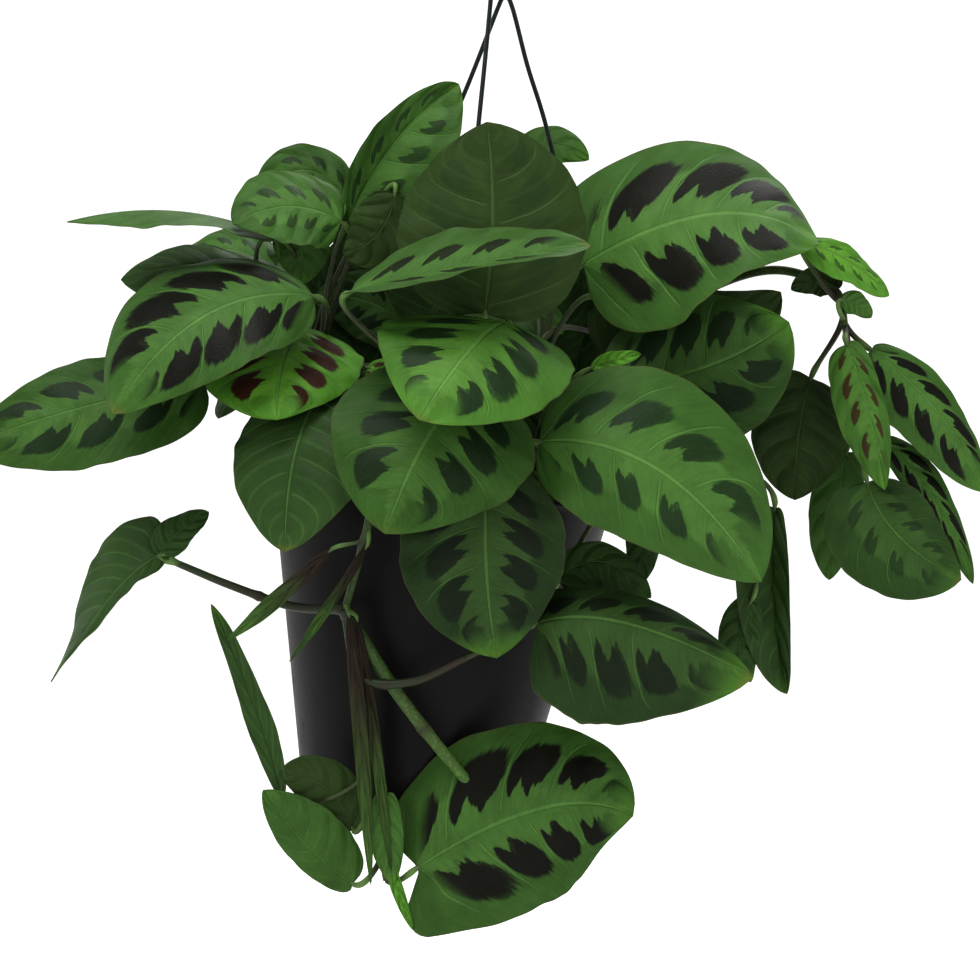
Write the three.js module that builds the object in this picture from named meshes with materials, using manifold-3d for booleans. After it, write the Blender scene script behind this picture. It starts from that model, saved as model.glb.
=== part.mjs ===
// A prayer plant (maranta) in a black hanging pot, in millimetres, +Z up.
// The origin is the seat of the hook, where a rail or ceiling hook carries it.
// +X is to the right and +Y is away, as the plant is seen from the front.
// Heavier growth on the right makes the pot hang with its foot swung to the left.
import * as THREE from "three";
import { mergeVertices } from "three/addons/utils/BufferGeometryUtils.js";
import Module from "manifold-3d";

const wasm = await Module();
wasm.setup();

// Driving dimensions
const POT_RIM_RADIUS = 85;
const POT_FOOT_RADIUS = 53.5;
const POT_HEIGHT = 160.8;
const POT_WALL = 1.8;
const POT_FLOOR = 2.6;
const POT_SIDES = 40;
const LIP_RADIUS = 92;
const LIP_THICKNESS = 2.4;
const LEAN = THREE.MathUtils.degToRad(5.71);
const FOOT_CENTRE = [-42.5, 0, -470];
const DRAIN_HOLES = 6;
const DRAIN_RADIUS = 4;
const DRAIN_CIRCLE = 38;
const SOIL_BELOW_RIM = 18;
const SOIL_DOME = 5;
const GAP = 0.3;
const WIRE_RADIUS = 1.15;
const WIRE_HOLE_CIRCLE = 88.4;
const WIRE_HOLE_RADIUS = 2;
const HOOK_WIRE_RADIUS = 2.2;
const HOOK_THROAT_RADIUS = 11;
const COLLAR_RADIUS = 10.5;
const COLLAR_TOP = -38;
const COLLAR_BOTTOM = -55;
const BLADE_THICKNESS = 0.7;
const ROOT_RADIUS = 3;
const ROOT_DEPTH = 14;
const STALK_RADIUS = 1.15;
const WAVE_HEIGHT = 1.6;
const WAVES_PER_EDGE = 1.5;

// The plant is set out as it is seen from the front, by an eye at this place.
// A place is [across, up, depth]: across and up as seen in the plane of the pot's axis,
// then moved along the line of sight to its depth, which is less towards the eye.
const EYE = [-2.5, -1600, -310];
const POT_AXIS_X = -26.5;

// A leaf has the base, bend and tip of its midrib, its half widths left and right of the
// midrib as its upper face is seen, and the way that face looks at the base. Options are:
// tipFace, the way it looks at the tip; fold of each half at the midrib, and its curl out
// to the edge, in degrees, up being positive; lobe, how far the base reaches back past
// the stalk; widest, the part of its length where it is widest; and at, how far along its
// stem or branch the stalk leaves it.
function leaf(base, bend, tip, half, face, options = {}) {
  const usual = { tipFace: face, fold: [0, 0], curl: [-6, -6], lobe: [4, 4], widest: 0.42 };
  return { base, bend, tip, half, face, ...usual, ...options };
}

// Each shoot has its root in the soil [across, away] from the pot's axis, the places
// its stem passes, branches that leave the stem at a part of its length, and leaves.
const SHOOTS = {
  crown_left: {
    root: [-40, 4],
    stem: [[-86, -262, 2], [-89, -230, 0]],
    leaves: [
      leaf([-74, -176, -15], [-51, -126, -20], [-18, -107, -12], [13, 32], [0, -0.9, 0.3],
        { fold: [40, 5], curl: [0, 5] }),
      leaf([-75, -165, 5], [-97, -132, 12], [-122, -171, 5], [24, 15], [0, -0.9, 0.4],
        { tipFace: [-0.3, -0.9, 0.2], curl: [-10, -10] }),
      leaf([-77, -176, -25], [-102, -160, -35], [-131, -177, -45], [26, 27], [0, -0.75, 0.6]),
      leaf([-50, -162, -24], [-55, -187, -28], [-76, -192, -30], [16, 16], [0, 1, 0.2], { curl: [5, 5] }),
    ],
  },
  side_left: {
    root: [-58, 18],
    stem: [[-100, -270, 20], [-106, -235, 12]],
    leaves: [
      leaf([-110, -183, -20], [-160, -161, -35], [-214, -176, -40], [24, 24], [0, -0.14, 1],
        { fold: [-12, -12], curl: [0, 0] }),
      leaf([-103, -207, -10], [-147, -190, -5], [-187, -205, 0], [27, 17], [0, -0.6, 0.8],
        { tipFace: [-0.4, -0.8, 0.4], curl: [-12, -20] }),
      leaf([-106, -204, 10], [-130, -181, 20], [-158, -194, 25], [20, 18], [0, -0.6, 0.7]),
      leaf([-111, -182, -14], [-92, -178, -14], [-98, -208, -14], [16, 16], [0, -1, 0.2]),
      leaf([-108, -216, 40], [-148, -206, 60], [-180, -236, 55], [22, 22], [-0.2, -0.1, 1]),
      leaf([-98, -282, 34], [-120, -288, 46], [-102, -334, 54], [22, 22], [-0.8, 0.5, 0.2],
        { curl: [-12, -12] }),
    ],
  },
  low_left: {
    root: [-58, -14],
    stem: [[-92, -275, -10], [-95, -232, -8]],
    leaves: [
      leaf([-91, -213, -55], [-150, -204, -85], [-191, -272, -90], [34, 52], [-0.1, -0.8, 0.6],
        { tipFace: [-0.3, -0.9, 0.2], fold: [0, -10], curl: [-10, -25] }),
      leaf([-145, -256, -30], [-199, -263, -45], [-266, -288, -40], [33, 27], [0, -0.85, 0.5],
        { tipFace: [0, -0.9, 0.4], curl: [-10, -10] }),
      leaf([-94, -229, -30], [-110, -237, -62], [-109, -275, -84], [38, 44], [-0.1, -0.5, 0.85],
        { tipFace: [0, -0.9, 0.4], fold: [-5, -5], curl: [-15, -10], lobe: [5, 5] }),
    ],
  },
  front_left: {
    root: [-38, -36],
    stem: [[-66, -285, -40], [-76, -258, -42]],
    leaves: [
      leaf([-87, -262, -60], [-105, -285, -88], [-105, -341, -88], [38, 32], [-0.3, -0.9, 0.4],
        { tipFace: [-0.3, -0.9, 0.1], lobe: [5, 5] }),
      leaf([-47, -256, -46], [-77, -257, -52], [-108, -282, -58], [22, 20], [0, -0.7, 0.7]),
      leaf([-64, -249, -50], [-55, -251, -54], [-44, -261, -56], [8, 8], [0, -0.9, 0.4], { lobe: [1, 1] }),
    ],
  },
  front_middle: {
    root: [8, -40],
    stem: [[8, -280, -48], [10, -250, -54]],
    leaves: [
      leaf([6, -226, -84], [-8, -228, -130], [-38, -275, -138], [47, 50], [0, -0.7, 0.7],
        { tipFace: [-0.1, -0.9, 0.4], fold: [-5, -5], curl: [-12, -12], lobe: [12, 26] }),
    ],
  },
  front_low: {
    root: [-16, -58],
    stem: [[-22, -300, -66], [-18, -280, -68]],
    leaves: [
      leaf([-8, -257, -88], [-35, -272, -116], [-55, -332, -118], [50, 52], [-0.1, -0.8, 0.6],
        { tipFace: [-0.1, -0.95, 0.2], fold: [-5, -5], curl: [-10, -10], lobe: [8, 8] }),
      leaf([-3, -300, -105], [-8, -345, -120], [1, -394, -106], [38, 41], [0, -0.95, 0.3],
        { tipFace: [0, -1, 0.1], fold: [-5, -5], curl: [-10, -10], lobe: [6, 6] }),
      leaf([-72, -211, -80], [-12, -194, -106], [48, -188, -98], [28, 36], [0, -0.45, 0.9],
        { fold: [15, 15], curl: [0, 0] }),
    ],
  },
  front_right: {
    root: [30, -46],
    stem: [[18, -295, -58], [26, -270, -62]],
    leaves: [
      leaf([22, -286, -90], [85, -278, -115], [133, -356, -95], [50, 38], [0, -0.9, 0.4],
        { tipFace: [0.2, -0.95, 0.2], fold: [-5, -5], curl: [-10, -5], lobe: [8, 8] }),
      leaf([52, -257, -40], [107, -257, -55], [147, -226, -55], [40, 40], [0, -0.9, 0.3],
        { tipFace: [0.2, -0.9, 0.2] }),
      leaf([48, -249, -66], [60, -245, -67], [73, -242, -66], [5, 5], [0, -1, 0.2], { curl: [60, 60], lobe: [0, 0] }),
    ],
  },
  crown_right: {
    root: [28, -8],
    stem: [[16, -270, -12], [24, -235, -18]],
    leaves: [
      leaf([44, -197, -25], [120, -151, -70], [162, -187, -60], [56, 57], [-0.1, -0.9, 0.4],
        { tipFace: [0.2, -0.4, 0.9], fold: [2, -4], curl: [-10, -10], lobe: [50, 12], widest: 0.36 }),
      leaf([52, -215, -15], [97, -255, -20], [143, -211, -25], [26, 26], [0, 1, 0.3]),
      leaf([16, -172, 30], [17, -121, 36], [47, -145, 34], [13, 14], [0, -0.9, 0.3]),
      leaf([70, -232, 30], [110, -215, 50], [140, -262, 50], [30, 30], [0.5, 0.3, 0.8]),
    ],
  },
  crown_top: {
    root: [10, -22],
    stem: [[-4, -275, -44], [-6, -243, -58]],
    leaves: [
      leaf([-5, -222, -68], [2, -172, -66], [-4, -126, -60], [46, 46], [0, 1, 0.3],
        { fold: [5, 5], curl: [8, 8], lobe: [8, 8] }),
    ],
  },
  inner: {
    root: [-14, 16],
    stem: [[-34, -275, 14], [-32, -250, 10]],
    leaves: [
      leaf([-36, -236, 12], [-62, -206, 14], [-90, -216, 12], [20, 16], [0, -1, 0.2]),
      leaf([-24, -234, 2], [5, -208, 4], [34, -232, -2], [22, 20], [0, -0.75, 0.6]),
      leaf([-30, -226, 4], [-34, -190, 6], [-40, -168, 4], [24, 24], [0, -0.95, 0.2]),
      leaf([14, -262, 12], [32, -232, 10], [38, -194, 8], [18, 16], [0, -1, 0.2]),
    ],
  },
  side_right: {
    root: [58, 24],
    stem: [[46, -290, 26], [54, -262, 26]],
    leaves: [
      leaf([62, -262, 0], [104, -258, -6], [122, -312, -14], [28, 28], [0.75, -0.1, 0.65],
        { curl: [-12, -12] }),
      leaf([62, -280, 22], [86, -286, 24], [84, -336, 22], [26, 26], [0.9, 0.2, 0.3],
        { curl: [-12, -12] }),
    ],
  },
  trailing_right: {
    root: [46, 8],
    stem: [[42, -270, 8], [92, -218, 0], [140, -200, -20], [171, -212, -32], [175, -228, -36]],
    leaves: [
      leaf([155, -186, -40], [180, -193, -45], [197, -213, -35], [8, 13], [0, -0.8, 0.6],
        { at: 0.86, tipFace: [0.3, -0.8, 0.5] }),
      leaf([171, -210, -28], [163, -200, -30], [148, -210, -30], [8, 8], [0, 1, 0.3], { at: 0.93, lobe: [1, 1] }),
      leaf([173, -215, -45], [182, -215, -45], [188, -224, -45], [6, 6], [0, -0.9, 0.3], { at: 0.96, lobe: [1, 1] }),
      leaf([176, -237, -50], [187, -262, -65], [195, -310, -60], [9, 17], [-0.4, -0.8, 0.1], { at: 1 }),
      leaf([188, -240, -35], [222, -262, -45], [246, -311, -30], [13, 23], [0.3, -0.9, 0.2],
        { at: 0.98, tipFace: [0.4, -0.9, 0] }),
      leaf([186, -306, -45], [194, -335, -55], [233, -355, -50], [22, 31], [0, -1, 0.2], { at: 1 }),
      leaf([194, -286, -30], [220, -302, -30], [239, -357, -35], [9, 9], [0.3, -0.9, 0], { at: 0.98 }),
      leaf([176, -291, -15], [170, -322, -15], [167, -355, -10], [12, 14], [0, -1, 0], { at: 0.99 }),
      leaf([158, -254, -20], [150, -280, -35], [150, -315, -30], [24, 26], [0, 1, 0.3],
        { at: 0.94, tipFace: [0, 1, 0], curl: [5, 5] }),
    ],
  },
  low_right: {
    root: [52, -26],
    stem: [[46, -302, -36], [62, -288, -42]],
    leaves: [
      leaf([140, -319, -45], [136, -365, -55], [146, -412, -50], [9, 24], [0, -0.9, 0], { fold: [40, 40] }),
      leaf([72, -315, -50], [76, -337, -50], [70, -359, -50], [9, 8], [0, -1, 0]),
      leaf([128, -366, -62], [116, -385, -64], [128, -406, -60], [10, 10], [0, -0.9, 0.2]),
      leaf([32, -356, -66], [52, -332, -68], [78, -364, -66], [10, 16], [0, -0.9, 0.3]),
    ],
  },
  hanging_front: {
    root: [-24, -66],
    stem: [[-45, -298, -74], [-58, -303, -94], [-64, -330, -95], [-75, -370, -78]],
    branches: [
      { at: 1, path: [[-102, -368, -60], [-134, -357, -58], [-158, -347, -60]] },
      { at: 1, path: [[-65, -408, -76], [-62, -460, -68], [-54, -505, -64]] },
      { at: 1, path: [[-50, -410, -78], [-22, -446, -72], [-8, -462, -66]] },
      { at: 1, path: [[-66, -404, -80], [-42, -406, -84], [-15, -394, -90]] },
    ],
    leaves: [
      leaf([-168, -343, -60], [-188, -351, -75], [-222, -406, -70], [8, 33], [-0.2, -0.9, 0.2],
        { on: 0, at: 1, tipFace: [-0.8, -0.3, 0.3], fold: [10, -10], lobe: [4, 30], widest: 0.3 }),
      leaf([-168, -343, -60], [-160, -330, -55], [-143, -321, -50], [10, 8], [0, -0.8, 0.5], { on: 0, at: 1 }),
      leaf([-82, -340, -92], [-105, -362, -90], [-135, -386, -74], [4, 4], [0, -1, 0.3], { at: 0.8, lobe: [0, 0] }),
      leaf([-64, -338, -96], [-80, -365, -92], [-103, -396, -76], [2.5, 2.5], [0, -1, 0.3], { at: 0.75, lobe: [0, 0] }),
      leaf([-107, -462, -60], [-119, -415, -65], [-142, -367, -60], [6, 8], [-0.3, -0.9, 0],
        { on: 1, at: 0.6, fold: [20, 20] }),
      leaf([-71, -480, -64], [-82, -450, -64], [-108, -452, -64], [14, 14], [0, 1, 0.1], { on: 1, at: 0.7 }),
      leaf([-71, -507, -72], [-97, -490, -76], [-116, -460, -68], [10, 20], [0, -0.9, 0.3], { on: 1, at: 0.9 }),
      leaf([-55, -462, -74], [-55, -485, -76], [-51, -507, -74], [8, 8], [0, -1, 0], { on: 1, at: 0.5 }),
      leaf([-39, -499, -70], [32, -452, -88], [69, -473, -78], [45, 44], [0, -0.95, 0.3],
        { on: 1, at: 1, tipFace: [0, -0.95, 0.2], fold: [-5, -5], curl: [-5, -5], lobe: [16, 44], widest: 0.33 }),
      leaf([-4, -462, -62], [18, -490, -58], [38, -500, -52], [22, 22], [0, 0.9, 0.4], { on: 2, at: 1 }),
      leaf([20, -377, -92], [57, -362, -112], [129, -404, -88], [24, 50], [0, -0.9, 0.3],
        { on: 3, at: 1, tipFace: [0, -0.95, 0.2], fold: [-40, -5], curl: [0, -5], lobe: [60, 22] }),
    ],
  },
};

// The growth round the back follows one rule for each tier, in mm out from the pot's axis
// and up, its leaves a step apart round the axis, with a seeded draw for how each differs.
const BACK_SHOOTS = 3;
const BACK_STEM = { step: 34, root: 50, out: 56, up: [-285, -250] };
const BACK_TIERS = [
  { step: 34, turn: -8, base: [36, -208], bend: [56, -160], tip: [82, -152], half: 16, face: [0.1, 1] },
  { step: 38, turn: 0, base: [54, -228], bend: [92, -180], tip: [124, -200], half: 29, face: [0.35, 0.94] },
  { step: 36, turn: 16, base: [76, -248], bend: [122, -224], tip: [152, -274], half: 33, face: [0.6, 0.8] },
  { step: 40, turn: -6, base: [94, -274], bend: [136, -270], tip: [150, -334], half: 34, face: [0.85, 0.5] },
  { step: 24, turn: 4, base: [100, -294], bend: [122, -318], tip: [112, -398], half: 32, face: [0.97, 0.2] },
];
const BACK_VARIES = { turn: 3, lift: 8, size: 0.15 };
const BACK_SHINGLE = 18;
const SEED = 20;

const SHINE = { roughness: 0.55, metalness: 0 };
const MATERIALS = {
  pot: new THREE.MeshStandardMaterial({ color: 0x1b1d1c, ...SHINE }),
  soil: new THREE.MeshStandardMaterial({ color: 0x2a211a, roughness: 1, metalness: 0 }),
  wire: new THREE.MeshStandardMaterial({ color: 0x17211d, ...SHINE }),
  hook: new THREE.MeshStandardMaterial({ color: 0x151716, ...SHINE }),
  leaf: new THREE.MeshStandardMaterial({ color: 0x3c6b2e, ...SHINE }),
};

const plant = new THREE.Group();
const pot = new THREE.Group();
pot.position.set(...FOOT_CENTRE);
pot.rotation.y = LEAN;
plant.add(pot);
plant.updateMatrixWorld(true);

function add(group, name, geometry, material) {
  const mesh = new THREE.Mesh(geometry, material);
  mesh.name = name;
  group.add(mesh);
}

function seen([across, up, depth]) {
  const reach = (depth - EYE[1]) / -EYE[1];
  return new THREE.Vector3(EYE[0] + (across - EYE[0]) * reach, depth, EYE[2] + (up - EYE[2]) * reach);
}

function inPot(x, y, z) {
  return pot.localToWorld(new THREE.Vector3(x, y, z));
}

function closedGeometry(points, triangles) {
  const geometry = new THREE.BufferGeometry();
  geometry.setAttribute("position", new THREE.Float32BufferAttribute(points.flatMap((p) => p.toArray()), 3));
  geometry.setIndex(triangles);
  return geometry;
}

function solid(geometry) {
  const bare = geometry.clone();
  bare.deleteAttribute("normal");
  bare.deleteAttribute("uv");
  const merged = mergeVertices(bare, 1e-4);
  return new wasm.Manifold(new wasm.Mesh({
    numProp: 3,
    vertProperties: new Float32Array(merged.attributes.position.array),
    triVerts: new Uint32Array(merged.index.array),
  }));
}

function geometryOf(manifold) {
  const mesh = manifold.getMesh();
  const geometry = new THREE.BufferGeometry();
  geometry.setAttribute("position", new THREE.BufferAttribute(new Float32Array(mesh.vertProperties), 3));
  geometry.setIndex(new THREE.BufferAttribute(new Uint32Array(mesh.triVerts), 1));
  return geometry;
}

// A round rod through points, its radius given at each point and its ends flat.
function rod(points, radii, sides) {
  const last = points.length - 1;
  const corners = [];
  let side = null;
  points.forEach((point, i) => {
    const along = points[Math.min(i + 1, last)].clone().sub(points[Math.max(i - 1, 0)]).normalize();
    if (!side) {
      side = new THREE.Vector3(0, 1, 0.3).cross(along).normalize();
    }
    side.addScaledVector(along, -side.dot(along)).normalize();
    const other = along.clone().cross(side);
    for (let k = 0; k < sides; k += 1) {
      const angle = (2 * Math.PI * k) / sides;
      corners.push(point.clone()
        .addScaledVector(side, radii[i] * Math.cos(angle))
        .addScaledVector(other, radii[i] * Math.sin(angle)));
    }
  });
  const start = corners.push(points[0].clone()) - 1;
  const end = corners.push(points[last].clone()) - 1;
  const triangles = [];
  for (let k = 0; k < sides; k += 1) {
    const next = (k + 1) % sides;
    for (let i = 0; i < last; i += 1) {
      const a = i * sides + k;
      const b = i * sides + next;
      triangles.push(a, b, b + sides, a, b + sides, a + sides);
    }
    triangles.push(start, next, k, end, last * sides + k, last * sides + next);
  }
  return closedGeometry(corners, triangles);
}

// The half width along a leaf, 0 to 1: blunt and round at the base, widest before the
// middle, and drawn to a point at the tip.
function outline(t, widest) {
  const near = Math.min(t / widest, 1);
  const far = Math.max((t - widest) / (1 - widest), 0);
  return Math.max((1 - (1 - near) ** 2.4) ** 0.5 * (1 - far ** 2.1) ** 0.72, 0.04);
}

// A place on a leaf's middle surface, t along the midrib and u across it, -1 to 1, with
// the surface's normal there. The midrib is a parabola, each half leaves it at the fold
// and bends on as an arc by the curl, and the edge carries a slow wave.
function onLeaf(shape, t, u) {
  const { base, bend, tip } = shape;
  const place = base.clone().multiplyScalar((1 - t) ** 2)
    .addScaledVector(bend, 2 * t * (1 - t))
    .addScaledVector(tip, t * t);
  const along = bend.clone().sub(base).multiplyScalar(1 - t)
    .addScaledVector(tip.clone().sub(bend), t)
    .normalize();
  const up = shape.face.clone().lerp(shape.tipFace, t);
  up.addScaledVector(along, -up.dot(along)).normalize();
  const across = along.clone().cross(up);
  const half = u > 0 ? 1 : 0;
  const reach = Math.abs(u);
  const body = outline(t, shape.widest);
  const width = shape.half[half] * body;
  const fold = THREE.MathUtils.degToRad(shape.fold[half]);
  const curl = THREE.MathUtils.degToRad(shape.curl[half]) + 1e-6;
  const lean = fold + curl * reach;
  const out = (width * (Math.sin(lean) - Math.sin(fold))) / curl;
  const wave = WAVE_HEIGHT * body * reach ** 2
    * Math.sin(2 * Math.PI * (WAVES_PER_EDGE * t + 0.3 * u));
  const rise = (width * (Math.cos(fold) - Math.cos(lean))) / curl + wave;
  const back = shape.lobe[half] * reach ** 2 * (1 - t) ** 6 * Math.sqrt(Math.min(1, t / 0.08));
  const sign = Math.sign(u);
  place.addScaledVector(across, sign * out).addScaledVector(up, rise).addScaledVector(along, -back);
  const normal = up.clone().multiplyScalar(Math.cos(lean)).addScaledVector(across, -sign * Math.sin(lean));
  return { place, normal };
}

// A smooth line through places, with steps between each two of them.
function smooth(places, steps) {
  const curve = new THREE.CatmullRomCurve3(places, false, "centripetal");
  return curve.getPoints(steps * (places.length - 1));
}

function taper(count, from, to) {
  return Array.from({ length: count }, (_, i) => THREE.MathUtils.lerp(from, to, i / (count - 1)));
}

// The cross-sections of a leaf's stalk, from the stem to the blade. It leaves the stem
// along the stem and comes to the blade from behind, along the midrib.
function stalkRows(shape, stem, at) {
  const k = at * (stem.length - 1);
  const i = Math.min(Math.floor(k), stem.length - 2);
  const start = stem[i].clone().lerp(stem[i + 1], k - i);
  const leaving = stem[i + 1].clone().sub(stem[i]).normalize();
  leaving.addScaledVector(shape.base.clone().sub(start).normalize(), 0.7).normalize();
  const arriving = shape.bend.clone().sub(shape.base).normalize();
  const span = start.distanceTo(shape.base);
  const curve = new THREE.CubicBezierCurve3(
    start,
    start.clone().addScaledVector(leaving, 0.3 * span),
    shape.base.clone().addScaledVector(arriving, -0.3 * span),
    shape.base,
  );
  const steps = span < 20 ? 2 : 3;
  const points = curve.getPoints(steps);
  const up = shape.face.clone();
  const rows = [];
  for (let n = steps; n >= 0; n -= 1) {
    const along = n === steps ? arriving : points[n + 1].clone().sub(points[Math.max(n - 1, 0)]).normalize();
    up.addScaledVector(along, -up.dot(along)).normalize();
    const across = along.clone().cross(up);
    const corner = (STALK_RADIUS + (0.5 * (steps - n)) / steps) * 0.9;
    const at4 = (sideways, upwards) => points[n].clone()
      .addScaledVector(across, sideways * corner)
      .addScaledVector(up, upwards * corner);
    rows.unshift({ upper: [at4(-1, 1), at4(1, 1)], lower: [at4(-1, -1), at4(1, -1)] });
  }
  return rows;
}

// The cross-sections of a leaf's blade, with the same places on both faces.
function bladeRows(shape) {
  const widest = Math.max(...shape.half);
  const places = widest < 27 ? [0.06, 0.3, 0.65, 1] : [0.05, 0.2, 0.43, 0.67, 0.86, 1];
  const columns = widest < 15 ? 2 : 4;
  return places.map((t) => {
    const sideways = t === 1 ? [-1, 1] : Array.from({ length: columns + 1 }, (_, j) => (2 * j) / columns - 1);
    const spots = sideways.map((u) => onLeaf(shape, t, u));
    const face = (side) => spots.map(({ place, normal }) => (
      place.clone().addScaledVector(normal, (side * BLADE_THICKNESS) / 2)
    ));
    return { upper: face(1), lower: face(-1) };
  });
}

// A closed body round cross-sections that each run from left to right. Both faces are
// split into triangles alike.
function closedBody(rows) {
  const points = [];
  const keep = (places) => places.map((place) => points.push(place) - 1);
  const sections = rows.map(({ upper, lower }) => ({ upper: keep(upper), lower: keep(lower) }));
  const triangles = [];
  const first = sections[0];
  triangles.push(first.upper[0], first.lower[0], first.lower[1], first.upper[0], first.lower[1], first.upper[1]);
  for (let k = 0; k < sections.length - 1; k += 1) {
    const near = sections[k];
    const far = sections[k + 1];
    const m = near.upper.length - 1;
    const n = far.upper.length - 1;
    let i = 0;
    let j = 0;
    while (i < m || j < n) {
      if (j === n || (i < m && (i + 1) * n <= (j + 1) * m)) {
        triangles.push(near.upper[i], near.upper[i + 1], far.upper[j]);
        triangles.push(near.lower[i + 1], near.lower[i], far.lower[j]);
        i += 1;
      } else {
        triangles.push(near.upper[i], far.upper[j + 1], far.upper[j]);
        triangles.push(near.lower[i], far.lower[j], far.lower[j + 1]);
        j += 1;
      }
    }
    triangles.push(near.upper[0], far.upper[0], far.lower[0], near.upper[0], far.lower[0], near.lower[0]);
    triangles.push(near.upper[m], near.lower[m], far.lower[n], near.upper[m], far.lower[n], far.upper[n]);
  }
  const { upper, lower } = sections[sections.length - 1];
  triangles.push(upper[0], upper[1], lower[1], upper[0], lower[1], lower[0]);
  return closedGeometry(points, triangles);
}

// A shoot fused from its stem, its branches, and its leaves on their stalks.
function shoot({ root, stem, branches = [], leaves }) {
  const soilLevel = POT_HEIGHT - SOIL_BELOW_RIM;
  const foot = inPot(root[0], root[1], soilLevel - ROOT_DEPTH + GAP);
  const collar = inPot(root[0], root[1], soilLevel + 2 * SOIL_DOME);
  const course = [collar, ...stem.map((place) => (place.isVector3 ? place : seen(place)))];
  const stemLine = [foot, ...smooth(course, 2)];
  const parts = [rod(stemLine, taper(stemLine.length, ROOT_RADIUS, 1.8), 5)];
  const lines = branches.map(({ at, path }) => {
    const start = stemLine[Math.round(at * (stemLine.length - 1))];
    const line = smooth([start, ...path.map(seen)], 2);
    parts.push(rod(line, taper(line.length, 2.4, 1.9), 5));
    return line;
  });
  leaves.forEach((shape, i) => {
    const line = shape.on === undefined ? stemLine : lines[shape.on];
    const at = shape.at ?? 0.5 + (0.5 * (i + 1)) / leaves.length;
    parts.push(closedBody([...stalkRows(shape, line, at), ...bladeRows(shape)]));
  });
  return geometryOf(parts.map(solid).reduce((whole, piece) => whole.add(piece)));
}

function placed(row) {
  return {
    ...row,
    base: seen(row.base),
    bend: seen(row.bend),
    tip: seen(row.tip),
    face: new THREE.Vector3(...row.face),
    tipFace: new THREE.Vector3(...row.tipFace),
  };
}

// A seeded draw, even from 0 up to 1.
function draws(seed) {
  let state = seed;
  return () => {
    state = (state * 16807) % 2147483647;
    return state / 2147483647;
  };
}

function backShoots() {
  const draw = draws(SEED);
  const ring = (turn, [out, up]) => {
    const angle = THREE.MathUtils.degToRad(90 + turn);
    return new THREE.Vector3(POT_AXIS_X + out * Math.cos(angle), out * Math.sin(angle), up);
  };
  return Array.from({ length: BACK_SHOOTS }, (_, i) => {
    const place = i - (BACK_SHOOTS - 1) / 2;
    const leaves = BACK_TIERS.map((tier) => {
      const turn = place * tier.step + tier.turn + BACK_VARIES.turn * (draw() - 0.5);
      const lift = new THREE.Vector3(0, 0, BACK_VARIES.lift * (draw() - 0.5));
      const half = tier.half * (1 + BACK_VARIES.size * (draw() - 0.5));
      const face = ring(turn + BACK_SHINGLE, tier.face).sub(ring(0, [0, 0]));
      return {
        base: ring(turn, tier.base).add(lift),
        bend: ring(turn, tier.bend).add(lift),
        tip: ring(turn + BACK_VARIES.turn * (draw() - 0.5), tier.tip).add(lift),
        half: [half, half],
        face,
        tipFace: face,
        fold: [-5, -5],
        curl: [-12, -12],
        lobe: [5, 5],
        widest: 0.42,
      };
    });
    const turn = place * BACK_STEM.step;
    const angle = THREE.MathUtils.degToRad(90 + turn);
    const root = [BACK_STEM.root * Math.cos(angle), BACK_STEM.root * Math.sin(angle)];
    return { root, stem: BACK_STEM.up.map((up) => ring(turn, [BACK_STEM.out, up])), leaves };
  });
}

const shoots = Object.entries(SHOOTS).map(([name, row]) => [
  `shoot_${name}`,
  { ...row, leaves: row.leaves.map(placed) },
]);
backShoots().forEach((row, i) => shoots.push([`shoot_back_${i + 1}`, row]));

// The pot: a thin moulded shell with a flat lip that has three wire holes, and six drain
// holes round its floor.
function potBody() {
  const { lerp } = THREE.MathUtils;
  const outerAt = (height) => lerp(POT_FOOT_RADIUS, POT_RIM_RADIUS, height / POT_HEIGHT);
  const profile = [
    [0, 0],
    [POT_FOOT_RADIUS - 1.2, 0],
    [outerAt(1.2), 1.2],
    [outerAt(POT_HEIGHT - LIP_THICKNESS), POT_HEIGHT - LIP_THICKNESS],
    [LIP_RADIUS, POT_HEIGHT - LIP_THICKNESS],
    [LIP_RADIUS, POT_HEIGHT],
    [POT_RIM_RADIUS - POT_WALL, POT_HEIGHT],
    [outerAt(POT_FLOOR) - POT_WALL, POT_FLOOR],
    [0, POT_FLOOR],
  ].map(([radius, height]) => new THREE.Vector2(radius, height));
  let shell = solid(standing(new THREE.LatheGeometry(profile, POT_SIDES)));
  const upright = (radius, x, y, z, length) => {
    const drill = new THREE.CylinderGeometry(radius, radius, length, 12);
    drill.rotateX(Math.PI / 2);
    drill.translate(x, y, z);
    return solid(drill);
  };
  for (let k = 0; k < DRAIN_HOLES; k += 1) {
    const angle = (2 * Math.PI * (k + 0.5)) / DRAIN_HOLES;
    const at = [DRAIN_CIRCLE * Math.cos(angle), DRAIN_CIRCLE * Math.sin(angle)];
    shell = shell.subtract(upright(DRAIN_RADIUS, ...at, POT_FLOOR / 2, 3 * POT_FLOOR));
  }
  WIRES.forEach(({ angle }) => {
    const at = [WIRE_HOLE_CIRCLE * Math.cos(angle), WIRE_HOLE_CIRCLE * Math.sin(angle)];
    shell = shell.subtract(upright(WIRE_HOLE_RADIUS, ...at, POT_HEIGHT, 4 * LIP_THICKNESS));
  });
  return geometryOf(shell);
}

// Lathe profiles are turned about +Y, so the turned piece is stood up along +Z.
function standing(geometry) {
  return geometry.rotateX(Math.PI / 2);
}

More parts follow.
